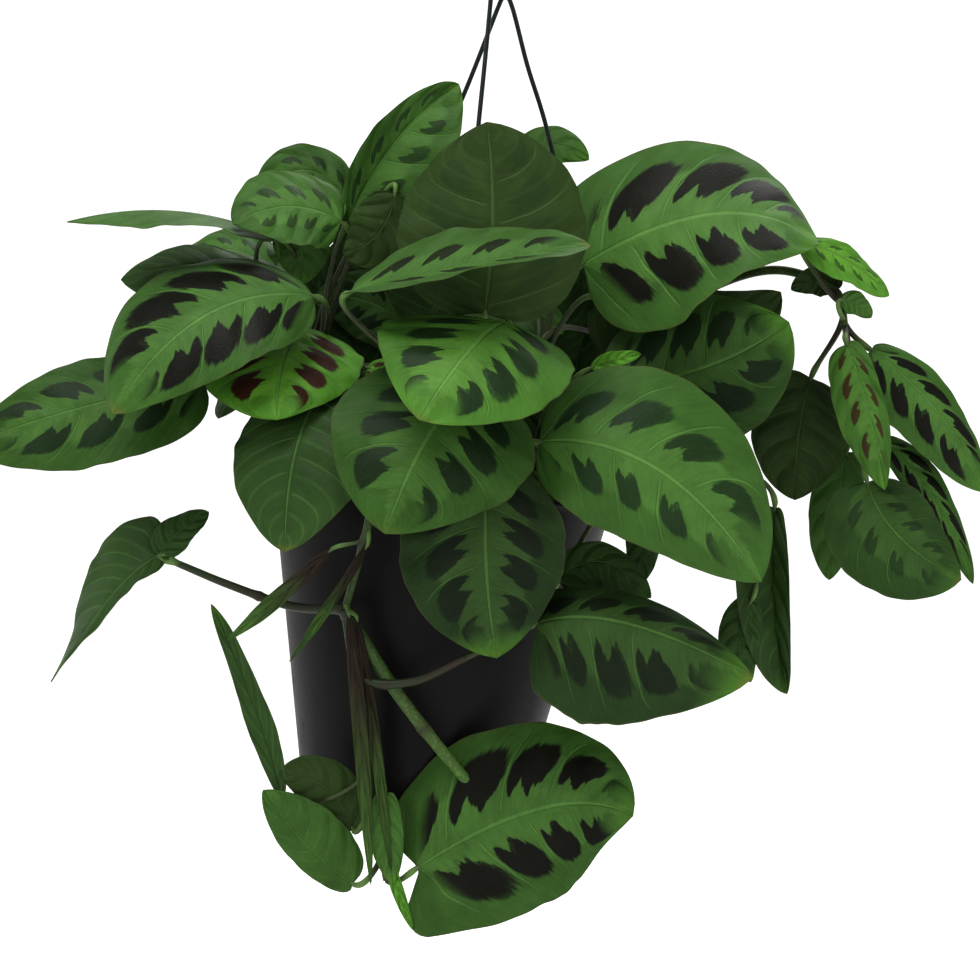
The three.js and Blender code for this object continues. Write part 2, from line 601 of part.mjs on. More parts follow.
// The soil fills the pot to a low dome, with a plain hole for each root.
function soil() {
  const inner = (height) => THREE.MathUtils.lerp(POT_FOOT_RADIUS, POT_RIM_RADIUS, height / POT_HEIGHT)
    - POT_WALL - 2 * GAP;
  const bottom = POT_FLOOR + GAP;
  const top = POT_HEIGHT - SOIL_BELOW_RIM;
  const profile = [
    [0, bottom],
    [inner(bottom), bottom],
    [inner(top), top],
    [inner(top) * 0.75, top + SOIL_DOME * 0.5],
    [inner(top) * 0.4, top + SOIL_DOME * 0.9],
    [0, top + SOIL_DOME],
  ].map(([radius, height]) => new THREE.Vector2(radius, height));
  let bed = solid(standing(new THREE.LatheGeometry(profile, POT_SIDES)));
  shoots.forEach(([, { root }]) => {
    const hole = new THREE.CylinderGeometry(ROOT_RADIUS + GAP, ROOT_RADIUS + GAP, 2 * ROOT_DEPTH, 8);
    hole.rotateX(Math.PI / 2);
    hole.translate(root[0], root[1], top);
    bed = bed.subtract(solid(hole));
  });
  return geometryOf(bed);
}

// Each wire is held in the collar, runs down with the bow that the photograph shows, goes
// through its hole in the pot's lip and turns outward and up round the lip's edge.
const WIRES = [
  { name: "front", angle: -Math.PI / 2, from: [-1.5, -5.5], bow: [] },
  { name: "left", angle: (5 * Math.PI) / 6, from: [7, -0.5], bow: [[2.6, 1, -66], [-15.6, 9, -111]] },
  { name: "right", angle: Math.PI / 6, from: [3.8, 5.5], bow: [[8.1, 6.5, -66], [16.2, 10, -96], [25.7, 15, -126], [36.5, 24, -175]] },
];
const WIRE_SEAT = 9;

function wireLine({ angle, from, bow }) {
  const rim = (radius, height) => inPot(radius * Math.cos(angle), radius * Math.sin(angle), height);
  const hole = rim(WIRE_HOLE_CIRCLE, POT_HEIGHT - LIP_THICKNESS / 2);
  const head = new THREE.Vector3(from[0], from[1], COLLAR_BOTTOM + WIRE_SEAT);
  const neck = new THREE.Vector3(from[0], from[1], COLLAR_BOTTOM - 1.5);
  const run = [neck, ...bow.map((p) => new THREE.Vector3(...p)), rim(WIRE_HOLE_CIRCLE - 0.8, POT_HEIGHT + 4)];
  const below = POT_HEIGHT - LIP_THICKNESS;
  return [
    head,
    ...(bow.length ? smooth(run, 2) : run),
    hole,
    rim(WIRE_HOLE_CIRCLE + 0.3, below - 2),
    rim(WIRE_HOLE_CIRCLE + 2.2, below - 4.4),
    rim(WIRE_HOLE_CIRCLE + 4.8, below - 4.4),
    rim(WIRE_HOLE_CIRCLE + 6.6, below - 2),
    rim(WIRE_HOLE_CIRCLE + 6.9, POT_HEIGHT + 1),
  ];
}

// The hook is bent from one thick wire, moulded into a round collar that the wires enter.
function hook() {
  const radius = HOOK_THROAT_RADIUS + HOOK_WIRE_RADIUS;
  const centre = -HOOK_THROAT_RADIUS;
  const arc = Array.from({ length: 13 }, (_, i) => {
    const angle = THREE.MathUtils.degToRad(205 - 205 * (i / 12));
    return new THREE.Vector3(radius * Math.cos(angle), 0, centre + radius * Math.sin(angle));
  });
  const shank = [
    new THREE.Vector3(radius * 0.93, 0, centre - 7),
    new THREE.Vector3(radius * 0.5, 0, centre - 15),
    new THREE.Vector3(2, 0, centre - 21),
    new THREE.Vector3(0, 0, centre - 25),
    new THREE.Vector3(0, 0, COLLAR_TOP - 6),
  ];
  const line = [...arc, ...shank];
  const profile = [
    [0, COLLAR_BOTTOM],
    [COLLAR_RADIUS - 1, COLLAR_BOTTOM],
    [COLLAR_RADIUS, COLLAR_BOTTOM + 1],
    [COLLAR_RADIUS, COLLAR_TOP - 5],
    [COLLAR_RADIUS * 0.7, COLLAR_TOP - 1],
    [0, COLLAR_TOP],
  ].map(([x, z]) => new THREE.Vector2(x, z));
  let body = solid(standing(new THREE.LatheGeometry(profile, 16)));
  body = body.add(solid(rod(line, line.map(() => HOOK_WIRE_RADIUS), 8)));
  WIRES.forEach(({ from }) => {
    const bore = new THREE.CylinderGeometry(WIRE_RADIUS + GAP, WIRE_RADIUS + GAP, 2 * WIRE_SEAT + 2 * GAP, 12);
    bore.rotateX(Math.PI / 2);
    bore.translate(from[0], from[1], COLLAR_BOTTOM);
    body = body.subtract(solid(bore));
  });
  return geometryOf(body);
}

add(pot, "pot", potBody(), MATERIALS.pot);
add(pot, "soil", soil(), MATERIALS.soil);
add(plant, "hanger_hook", hook(), MATERIALS.hook);
WIRES.forEach((wire) => {
  const line = wireLine(wire);
  add(plant, `hanger_wire_${wire.name}`, rod(line, line.map(() => WIRE_RADIUS), 8), MATERIALS.wire);
});
shoots.forEach(([name, row]) => add(plant, name, shoot(row), MATERIALS.leaf));

export default plant;
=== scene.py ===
"""A prayer plant (maranta) in a black hanging pot, set over its solid model.

Everything is in metres, +Z up, and the origin is the seat of the hook. Sizes in the tables are
in millimetres. Every shape is worked out with numpy: a round piece is a profile turned about an
axis, a wire or stem is a ring of points carried along a line, and a leaf is a sheet, t along its
midrib and u across it, whose two faces are joined round the edge.
"""
import math

import bpy
import numpy as np
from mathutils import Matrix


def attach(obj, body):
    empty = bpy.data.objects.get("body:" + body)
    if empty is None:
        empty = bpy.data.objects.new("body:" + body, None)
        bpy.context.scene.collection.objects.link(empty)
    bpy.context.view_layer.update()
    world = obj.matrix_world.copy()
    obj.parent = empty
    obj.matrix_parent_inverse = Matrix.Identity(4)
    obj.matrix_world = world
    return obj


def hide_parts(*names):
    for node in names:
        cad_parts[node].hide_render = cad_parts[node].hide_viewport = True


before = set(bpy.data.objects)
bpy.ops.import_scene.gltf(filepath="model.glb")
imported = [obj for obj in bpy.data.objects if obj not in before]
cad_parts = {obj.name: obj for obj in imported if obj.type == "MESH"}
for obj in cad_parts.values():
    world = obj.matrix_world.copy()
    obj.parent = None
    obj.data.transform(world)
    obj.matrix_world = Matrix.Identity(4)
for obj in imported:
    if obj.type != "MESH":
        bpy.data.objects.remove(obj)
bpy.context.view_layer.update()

MM = 0.001


# The camera stands where the photograph was taken from: level, 1.6 m in front of the plant.
# The picture is square, 980 across, and 0.5 mm a pixel at the middle of the pot.
EYE = np.array([-2.5, -1600.0, -310.0])
PIXELS_WIDE = 980
MM_PER_PIXEL = 0.5
SENSOR_WIDTH = 36

camera = bpy.data.objects.new("camera", bpy.data.cameras.new("camera"))
camera.data.sensor_width = SENSOR_WIDTH
camera.data.lens = SENSOR_WIDTH * -EYE[1] / (PIXELS_WIDE * MM_PER_PIXEL)
camera.data.clip_start = 0.05
camera.data.clip_end = 60
camera.location = EYE * MM
camera.rotation_euler = (math.pi / 2, 0, 0)
bpy.context.scene.collection.objects.link(camera)
bpy.context.scene.camera = camera


# The studio: a big soft box high in front, a weaker one from the right, one from behind, and
# an even pale room. All of it is white and soft, so shadows stay open.
SOFT_BOXES = {
    "key": {"at": (-0.45, -0.75, 1.6), "aim": (0, 0, -0.3), "size": 1.1, "watts": 29},
    "fill": {"at": (1.6, -1.9, 0.1), "aim": (0, 0, -0.3), "size": 1.4, "watts": 3},
    "back": {"at": (0.4, 1.3, 1.4), "aim": (0, 0, -0.3), "size": 1.2, "watts": 12},
}
ROOM_WHITE = (1.0, 1.0, 1.0, 1.0)
ROOM_STRENGTH = 0.44


def soft_box(name, at, aim, size, watts):
    """A square area light, its place and aim in metres."""
    light = bpy.data.lights.new(name, "AREA")
    light.size = size
    light.energy = watts
    lamp = bpy.data.objects.new(name, light)
    lamp.location = at
    away = np.array(at) - np.array(aim)
    flat = math.hypot(away[0], away[1])
    lamp.rotation_euler = (math.atan2(flat, away[2]), 0, math.atan2(away[0], -away[1]))
    bpy.context.scene.collection.objects.link(lamp)


for box_name, box in SOFT_BOXES.items():
    soft_box(box_name, **box)

room = bpy.data.worlds.new("pale_room")
room.use_nodes = True
room.node_tree.nodes["Background"].inputs["Color"].default_value = ROOM_WHITE
room.node_tree.nodes["Background"].inputs["Strength"].default_value = ROOM_STRENGTH
bpy.context.scene.world = room
bpy.context.scene.view_settings.view_transform = "Standard"
bpy.context.scene.view_settings.look = "Medium High Contrast"


# The floor: a round sheet of pale paper that turns up all round, a hand's breadth below the
# lowest leaf. A material's sums are written as Python sums on its sockets.
FLOOR_Z = -0.60
PAPER_FLAT = 3.6
PAPER_BEND = 2.4
PAPER_SIDES = 72
PAPER_WHITE = (0.86, 0.86, 0.855, 1.0)
PAPER_GREY = (0.83, 0.83, 0.83, 1.0)


class Tint:
    """A number or a colour inside a material. A sum written with it adds the Math nodes."""

    def __init__(self, finish, socket):
        self.finish = finish
        self.socket = socket

    def math(self, operation, *others):
        """A Math node fed with this value first."""
        feeds = dict(enumerate((self, *others)))
        return self.finish.node("ShaderNodeMath", {"operation": operation}, feeds)

    def __add__(self, other):
        return self.math("ADD", other)

    def __sub__(self, other):
        return self.math("SUBTRACT", other)

    def __mul__(self, other):
        return self.math("MULTIPLY", other)

    def __truediv__(self, other):
        return self.math("DIVIDE", other)

    def __pow__(self, other):
        return self.math("POWER", other)

    __radd__ = __add__
    __rmul__ = __mul__

    def __rsub__(self, other):
        return self.finish.node("ShaderNodeMath", {"operation": "SUBTRACT"}, {0: other, 1: self})

    def __abs__(self):
        return self.math("ABSOLUTE")

    def ramp(self, low, high):
        """0 below low, 1 above high, and smooth between them. low may be the greater."""
        feeds = {"Value": self, "From Min": low, "From Max": high}
        return self.finish.node("ShaderNodeMapRange", {"interpolation_type": "SMOOTHSTEP"}, feeds)


class Finish:
    """A material on one shader. node() adds a node: its type, its settings, then its feeds."""

    def __init__(self, name, **constants):
        self.material = bpy.data.materials.new(name)
        self.material.use_nodes = True
        self.tree = self.material.node_tree
        self.shader = self.tree.nodes["Principled BSDF"]
        for label, value in constants.items():
            self.shader.inputs[label.replace("_", " ")].default_value = value

    def node(self, kind, settings=None, feeds=None, out=0):
        made = self.tree.nodes.new(kind)
        for label, value in (settings or {}).items():
            setattr(made, label, value)
        for label, value in (feeds or {}).items():
            self.feed(made.inputs[label], value)
        return Tint(self, made.outputs[out])

    def feed(self, socket, value):
        """Link a Tint to the socket, or set the socket to a number or colour."""
        if isinstance(value, Tint):
            self.tree.links.new(value.socket, socket)
        else:
            socket.default_value = value

    def blend(self, mask, first, second):
        """The first colour where the mask is 0 and the second where it is 1."""
        feeds = {0: mask, 6: first, 7: second}
        return self.node("ShaderNodeMix", {"data_type": "RGBA"}, feeds, out=2)

    def coats(self, colour, *layers):
        """A colour under layers, each a mask and the colour that shows where its mask is 1."""
        for mask, over in layers:
            colour = self.blend(mask, colour, over)
        return colour

    def shaded(self, colour, amount):
        """A colour made lighter or darker by a number near 1."""
        feeds = {0: colour, 3: amount}
        return self.node("ShaderNodeVectorMath", {"operation": "SCALE"}, feeds)

    def place(self):
        """The point in the object's own metres."""
        return self.node("ShaderNodeTexCoord", out=3)

    def grain(self, scale, detail=2.0, at=None, rough=0.5):
        """Noise from 0 to 1, scale being its lumps a metre."""
        feeds = {"Vector": self.place() if at is None else at, "Scale": scale, "Detail": detail}
        feeds["Roughness"] = rough
        return self.node("ShaderNodeTexNoise", None, feeds)

    def value(self, name):
        """A number that the mesh carries at each point."""
        return self.node("ShaderNodeAttribute", {"attribute_name": name}, out=2)

    def paint(self, colour, roughness=None, relief=None, depth=0.0003):
        """Feed the shader. The relief is a bump, and a rise of 1 in it is depth in metres."""
        self.feed(self.shader.inputs["Base Color"], colour)
        if roughness is not None:
            self.feed(self.shader.inputs["Roughness"], roughness)
        if relief is not None:
            feeds = {"Height": relief, "Distance": depth, "Strength": 1.0}
            bump = self.node("ShaderNodeBump", None, feeds)
            self.feed(self.shader.inputs["Normal"], bump)
        return self.material


def piece(name, points, quads, finish, corners=(), values=None, sharp=None):
    """A mesh object at the origin, its points in metres, its faces four- and three-cornered."""
    quads = np.asarray(quads, dtype=np.int32).reshape(-1, 4)
    corners = np.asarray(corners, dtype=np.int32).reshape(-1, 3)
    mesh = bpy.data.meshes.new(name)
    mesh.vertices.add(len(points))
    mesh.vertices.foreach_set("co", np.asarray(points, dtype=np.float32).ravel())
    loops = np.concatenate([quads.ravel(), corners.ravel()])
    mesh.loops.add(len(loops))
    mesh.loops.foreach_set("vertex_index", loops)
    starts = np.concatenate([np.arange(len(quads)) * 4, quads.size + np.arange(len(corners)) * 3])
    mesh.polygons.add(len(starts))
    mesh.polygons.foreach_set("loop_start", starts.astype(np.int32))
    mesh.update(calc_edges=True)
    mesh.validate()
    mesh.polygons.foreach_set("use_smooth", np.ones(len(mesh.polygons), dtype=bool))
    for label, numbers in (values or {}).items():
        layer = mesh.attributes.new(label, "FLOAT", "POINT")
        layer.data.foreach_set("value", np.asarray(numbers, dtype=np.float32))
    if sharp is not None:
        mesh.set_sharp_from_angle(angle=math.radians(sharp))
    mesh.materials.append(finish)
    made = bpy.data.objects.new(name, mesh)
    bpy.context.scene.collection.objects.link(made)
    return made


def round_quads(rows, count, first=0):
    """The faces between neighbouring rings of count points, each ring closed on itself."""
    ring = np.arange(rows - 1)[:, None] * count + first
    k = np.arange(count)[None, :]
    following = (k + 1) % count
    return np.stack([ring + k, ring + following, ring + count + following, ring + count + k], -1)


def turned(profile, count):
    """A profile of (radius, height) turned about +Z: (radius cos a, radius sin a, height)."""
    profile = np.asarray(profile, dtype=float)
    angle = 2 * np.pi * np.arange(count) / count
    radius = profile[:, 0:1]
    height = np.broadcast_to(profile[:, 1:2], (len(profile), count))
    return np.stack([radius * np.cos(angle), radius * np.sin(angle), height], -1)


bend = np.linspace(0, np.pi / 2, 12)[1:]
paper_line = np.concatenate([
    [[reach, FLOOR_Z] for reach in (0.001, 1.0, 2.5, PAPER_FLAT)],
    np.stack([np.sin(bend), 1 - np.cos(bend)], -1) * PAPER_BEND + [PAPER_FLAT, FLOOR_Z],
    [[PAPER_FLAT + PAPER_BEND, FLOOR_Z + PAPER_BEND + 1.0]],
])
paper_finish = Finish("pale_paper", Roughness=0.95, Specular_IOR_Level=0.1, Emission_Strength=0.40,
                      Emission_Color=PAPER_WHITE)
paper_finish.paint(paper_finish.blend(paper_finish.grain(3.0), PAPER_WHITE, PAPER_GREY))
paper = piece("paper_floor", turned(paper_line, PAPER_SIDES).reshape(-1, 3),
              round_quads(len(paper_line), PAPER_SIDES), paper_finish.material)
paper_finish.material.cycles.emission_sampling = "NONE"


# The pot: a thin tapered shell of black polypropylene, moulded in one piece with a flat lip
# for the wires. It has drain holes in its floor, and it leans because more grows on its right.
POT_RIM_RADIUS = 85.0
POT_FOOT_RADIUS = 53.5
POT_HEIGHT = 160.8
POT_WALL = 1.8
POT_FLOOR = 2.6
FOOT_HOLLOW = 0.6
LIP_RADIUS = 92.0
LIP_THICKNESS = 2.4
LEAN = math.radians(5.71)
FOOT_CENTRE = np.array([-42.5, 0.0, -470.0])
DRAIN_HOLES = 6
DRAIN_RADIUS = 4.0
DRAIN_CIRCLE = 38.0
WIRE_HOLE_CIRCLE = 88.4
WIRE_HOLE_RADIUS = 2.0
WIRE_ANGLES = {"front": -math.pi / 2, "left": 5 * math.pi / 6, "right": math.pi / 6}
POT_SIDES = 144
DRILL_SIDES = 20
SHARP_DEGREES = 40
BLACK_PLASTIC = (0.0034, 0.0037, 0.0034, 1.0)
WORN_PLASTIC = (0.0075, 0.0078, 0.0072, 1.0)
POT_DUST = (0.022, 0.020, 0.017, 1.0)


def hung(points):
    """A place in the upright pot, turned by the lean and moved to where the foot hangs, in mm."""
    x, y, z = np.moveaxis(np.asarray(points, dtype=float), -1, 0)
    leaning = np.stack([x * math.cos(LEAN) + z * math.sin(LEAN), y,
                        -x * math.sin(LEAN) + z * math.cos(LEAN)], -1)
    return leaning + FOOT_CENTRE


def pot_radius(height):
    """The outside of the tapered wall: a straight line from the foot to the rim."""
    return POT_FOOT_RADIUS + (POT_RIM_RADIUS - POT_FOOT_RADIUS) * height / POT_HEIGHT


def eased(centre, reach, first, last, steps=5):
    """Part of a circle in the profile, by its centre, radius and two angles in degrees."""
    angle = np.radians(np.linspace(first, last, steps))
    return [[centre[0] + reach * math.cos(a), centre[1] + reach * math.sin(a)] for a in angle]


lip_under = POT_HEIGHT - LIP_THICKNESS
wall_steps = [[pot_radius(h), h] for h in np.linspace(3, lip_under - 3, 22)]
inside_heights = np.linspace(POT_HEIGHT - 1, POT_FLOOR + 2, 10)
inside_steps = [[pot_radius(h) - POT_WALL, h] for h in inside_heights]
pot_line = [
    *([reach, FOOT_HOLLOW] for reach in (0.5, 12, 30, 45)),
    [POT_FOOT_RADIUS - 5.5, 0.5], [POT_FOOT_RADIUS - 4.5, 0.0], [POT_FOOT_RADIUS - 1.4, 0.0],
    *eased((POT_FOOT_RADIUS - 1.2, 1.4), 1.4, -80, -5),
    *wall_steps,
    [pot_radius(lip_under) + 0.1, lip_under - 0.9], [pot_radius(lip_under) + 0.9, lip_under],
    [LIP_RADIUS - 2, lip_under],
    *eased((LIP_RADIUS - 0.8, lip_under + 0.8), 0.8, -90, 0),
    *eased((LIP_RADIUS - 0.9, POT_HEIGHT - 0.9), 0.9, 0, 90),
    [LIP_RADIUS - 3, POT_HEIGHT], [POT_RIM_RADIUS + 1, POT_HEIGHT],
    *eased((POT_RIM_RADIUS - POT_WALL + 0.8, POT_HEIGHT - 0.8), 0.8, 90, 180),
    *inside_steps,
    [pot_radius(POT_FLOOR) - POT_WALL - 1.5, POT_FLOOR], [30, POT_FLOOR], [0.5, POT_FLOOR],
]


def closed(rings, first, last):
    """Rings of points as a closed skin: a point in the middle of the first ring and one in the
    middle of the last shut its two ends. Returns the points, the quads and the end faces."""
    count, sides = rings.shape[:2]
    points = np.concatenate([rings.reshape(-1, 3), [first, last]])
    side = np.arange(sides)
    after = (side + 1) % sides
    end = (count - 1) * sides
    corners = np.concatenate([
        np.stack([np.full(sides, len(points) - 2), after, side], -1),
        np.stack([np.full(sides, len(points) - 1), end + side, end + after], -1),
    ])
    return points, round_quads(count, sides).reshape(-1, 4), corners


def gathered(parts):
    """Several meshes laid end to end as one: points, quads, corners and carried values."""
    first = np.cumsum([0] + [len(points) for points, _, _, _ in parts])[:-1]
    points = np.concatenate([points for points, _, _, _ in parts])
    quads = np.concatenate([quads + n for (_, quads, _, _), n in zip(parts, first)])
    corners = np.concatenate([corners + n for (_, _, corners, _), n in zip(parts, first)])
    values = {label: np.concatenate([carried[label] for _, _, _, carried in parts])
              for label in parts[0][3]}
    return points, quads, corners, values


def posts(count, turn, circle, radius, low, high):
    """Upright round posts, evenly round a circle in the pot from a first angle on."""
    made = []
    for angle in turn + 2 * np.pi * np.arange(count) / count:
        middle = circle * np.array([math.cos(angle), math.sin(angle), 0])
        rings = middle + turned([[radius, low], [radius, high]], DRILL_SIDES)
        made.append((*closed(rings, middle + [0, 0, low], middle + [0, 0, high]), {}))
    return made


pot_finish = Finish("pot_black_plastic", Roughness=0.5, Specular_IOR_Level=0.14)
height_up = pot_finish.node("ShaderNodeSeparateXYZ", None, {0: pot_finish.place()}, out=2)
dust = pot_finish.grain(38.0, 6.0, rough=0.7).ramp(0.56, 0.74)
flow = pot_finish.grain(11.0, 3.0).ramp(0.35, 0.7)
scuffs = pot_finish.grain(420.0, 4.0).ramp(0.6, 0.8)
near_foot = height_up.ramp(-0.40, -0.475)
pot_colour = pot_finish.coats(
    BLACK_PLASTIC, (flow * 0.6, WORN_PLASTIC), (dust * (0.16 + near_foot * 0.22), POT_DUST))
pot_roughness = 0.46 + flow * 0.07 + dust * 0.14
pot_relief = pot_finish.grain(900.0, 2.0) * 0.5 + pot_finish.grain(60.0, 2.0) * 0.5 + scuffs * 0.1
pot_finish.paint(pot_colour, pot_roughness, pot_relief, 0.00012)

pot_points, pot_quads, pot_ends = closed(
    turned(pot_line, POT_SIDES), [0, 0, FOOT_HOLLOW], [0, 0, POT_FLOOR])
pot_piece = piece("pot_shell", hung(pot_points) * MM, pot_quads, pot_finish.material,
                  corners=pot_ends, sharp=SHARP_DEGREES)
drill_points, drill_quads, drill_ends, _ = gathered(
    posts(DRAIN_HOLES, math.pi / DRAIN_HOLES, DRAIN_CIRCLE, DRAIN_RADIUS, -6, POT_FLOOR + 4)
    + posts(len(WIRE_ANGLES), WIRE_ANGLES["front"], WIRE_HOLE_CIRCLE, WIRE_HOLE_RADIUS,
            lip_under - 4, POT_HEIGHT + 4))
drill = piece("pot_drill", hung(drill_points) * MM, drill_quads, pot_finish.material,
              corners=drill_ends)
holes = pot_piece.modifiers.new("holes", "BOOLEAN")
holes.operation = "DIFFERENCE"
holes.solver = "EXACT"
holes.object = drill
worked_out = bpy.context.evaluated_depsgraph_get()
drilled = bpy.data.meshes.new_from_object(pot_piece.evaluated_get(worked_out))
pot_piece.modifiers.clear()
pot_piece.data = drilled
drilled.set_sharp_from_angle(angle=math.radians(SHARP_DEGREES))
bpy.data.objects.remove(drill)
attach(pot_piece, "root")
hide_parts("pot")


# The soil: dark potting mix of peat and fine bark, filled to a low dome 18 mm under the rim.
# Its top is loose crumbs, so it is rough all over, and its side lies against the pot.
SOIL_BELOW_RIM = 18.0
SOIL_DOME = 5.0
SOIL_GAP = 0.6
SOIL_RINGS = 56
SOIL_SIDES = 128
LUMP_HEIGHT, LUMP_SIZE, LUMP_SEED = 1.5, 14.0, 3
CRUMB_HEIGHT, CRUMB_SIZE, CRUMB_SEED = 1.1, 6.0, 4
PEAT = (0.020, 0.012, 0.008, 1.0)
BARK = (0.085, 0.045, 0.024, 1.0)
DRY_CRUMB = (0.13, 0.09, 0.06, 1.0)


def lumps(x, y, seed, size, octaves=4, waves=7):
    """Seeded waves in random directions, summed over octaves: each is half as long as the one
    before and about six tenths as high."""
    draw = np.random.default_rng(seed)
    total = np.zeros_like(x)
    for octave in range(octaves):
        turn = draw.uniform(0, 2 * np.pi, waves)
        start = draw.uniform(0, 2 * np.pi, waves)
        rate = 2 * np.pi * 2 ** octave / size
        reach = x[..., None] * np.cos(turn) + y[..., None] * np.sin(turn)
        total = total + np.sin(rate * reach + start).sum(-1) / waves / 2 ** (0.7 * octave)
    return total


soil_level = POT_HEIGHT - SOIL_BELOW_RIM
soil_reach = pot_radius(soil_level) - POT_WALL - SOIL_GAP
part = np.linspace(0.004, 1, SOIL_RINGS)[:, None]
soil_angle = (2 * np.pi * np.arange(SOIL_SIDES) / SOIL_SIDES)[None, :]
soil_x = soil_reach * part * np.cos(soil_angle)
soil_y = soil_reach * part * np.sin(soil_angle)
crumbs = (LUMP_HEIGHT * lumps(soil_x, soil_y, LUMP_SEED, LUMP_SIZE)
          + CRUMB_HEIGHT * np.abs(lumps(soil_x, soil_y, CRUMB_SEED, CRUMB_SIZE)))
soil_z = soil_level + SOIL_DOME * (1 - part ** 2) + crumbs * np.minimum(1, 6 * (1 - part) + 0.25)
soil_top = np.stack([soil_x, soil_y, soil_z], -1)
soil_bottom = POT_FLOOR + 1.2
soil_side = turned([
    *([pot_radius(h) - POT_WALL - SOIL_GAP, h] for h in (120, 60, POT_FLOOR + 8)),
    [pot_radius(0) - POT_WALL - 8, soil_bottom], [20, soil_bottom], [0.5, soil_bottom],
], SOIL_SIDES)
soil_points, soil_quads, soil_ends = closed(
    np.concatenate([soil_top, soil_side]), [0, 0, soil_z[0].mean()], [0, 0, soil_bottom])

soil_finish = Finish("potting_mix", Roughness=0.95)
crumb_cells = soil_finish.node("ShaderNodeTexVoronoi", None,
                               {"Vector": soil_finish.place(), "Scale": 420.0})
bark_bits = soil_finish.grain(160.0, 4.0).ramp(0.52, 0.66)
dry_bits = soil_finish.grain(330.0, 3.0).ramp(0.63, 0.75)
soil_colour = soil_finish.coats(PEAT, (bark_bits, BARK), (dry_bits * 0.6, DRY_CRUMB))
soil_relief = crumb_cells * -0.8 + soil_finish.grain(240.0, 5.0)
soil_finish.paint(soil_colour, 0.82 + bark_bits * 0.14, soil_relief, 0.0012)
soil_piece = piece("soil_bed", hung(soil_points) * MM, soil_quads[:, ::-1], soil_finish.material,
                   corners=soil_ends[:, ::-1])
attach(soil_piece, "root")
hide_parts("soil")


# The hook: thick wire bent round to hang over a rail, moulded into a round plastic collar
# that holds the tops of the three wires. Both are black and share one finish.
HOOK_WIRE_RADIUS = 2.2
HOOK_THROAT_RADIUS = 11.0
HOOK_TIP_DEGREES = 205
HOOK_TIP_RADII = [1.2, 1.8, 2.1]
HOOK_SIDES = 20
COLLAR_RADIUS = 10.5
COLLAR_TOP = -38.0
COLLAR_BOTTOM = -55.0
COLLAR_SIDES = 48
HOOK_BLACK = (0.012, 0.013, 0.013, 1.0)
HOOK_EDGE = (0.035, 0.036, 0.036, 1.0)


def course(places, where):
    """A smooth line through places, read at where: whole numbers are the places themselves.

    Between two places it is a cubic whose slopes come from the neighbours, each step's share
    being the square root of its length, so close places don't make a loop."""
    places = np.asarray(places, dtype=float)
    held = np.concatenate([[2 * places[0] - places[1]], places, [2 * places[-1] - places[-2]]])
    where = np.clip(np.asarray(where, dtype=float), 0, len(places) - 1)
    k = np.minimum(where.astype(int), len(places) - 2)
    s = (where - k)[:, None]
    a, b, c, d = (held[k + i] for i in range(4))
    share = np.sqrt(np.linalg.norm(held[1:] - held[:-1], axis=1))
    p, q, r = (share[k + i][:, None] for i in range(3))
    leaving = ((b - a) / p - (c - a) / (p + q) + (c - b) / q) * q
    coming = ((c - b) / q - (d - b) / (q + r) + (d - c) / r) * q
    return (b + leaving * s + (3 * (c - b) - 2 * leaving - coming) * s ** 2
            + (2 * (b - c) + leaving + coming) * s ** 3)


def rod(line, radii, count, values=None):
    """Rings of count points carried along a line, closed by a point at each end.

    Each ring lies square to the line, and its first side turns as little as it can from one
    ring to the next. Returns the points, the quads, the end faces and the carried values."""
    line = np.asarray(line, dtype=float)
    radii = np.broadcast_to(radii, (len(line),)).astype(float)
    slope = np.gradient(line, axis=0)
    slope /= np.linalg.norm(slope, axis=1, keepdims=True)
    first = np.cross([0.0, 1.0, 0.3], slope[0])
    sides = [first / np.linalg.norm(first)]
    for way in slope[1:]:
        turned_on = sides[-1] - way * (sides[-1] @ way)
        sides.append(turned_on / np.linalg.norm(turned_on))
    across = np.array(sides)
    over = np.cross(slope, across)
    angle = 2 * np.pi * np.arange(count) / count
    rings = (line[:, None] + radii[:, None, None] * (np.cos(angle)[:, None] * across[:, None]
                                                     + np.sin(angle)[:, None] * over[:, None]))
    caps = [line[0] - slope[0] * radii[0] * 0.25, line[-1] + slope[-1] * radii[-1] * 0.25]
    points, quads, corners = closed(rings, *caps)
    carried = {}
    for label, numbers in (values or {}).items():
        each = np.repeat(np.broadcast_to(numbers, (len(line),)).astype(float), count)
        carried[label] = np.concatenate([each, [each[0], each[-1]]])
    return points, quads, corners, carried


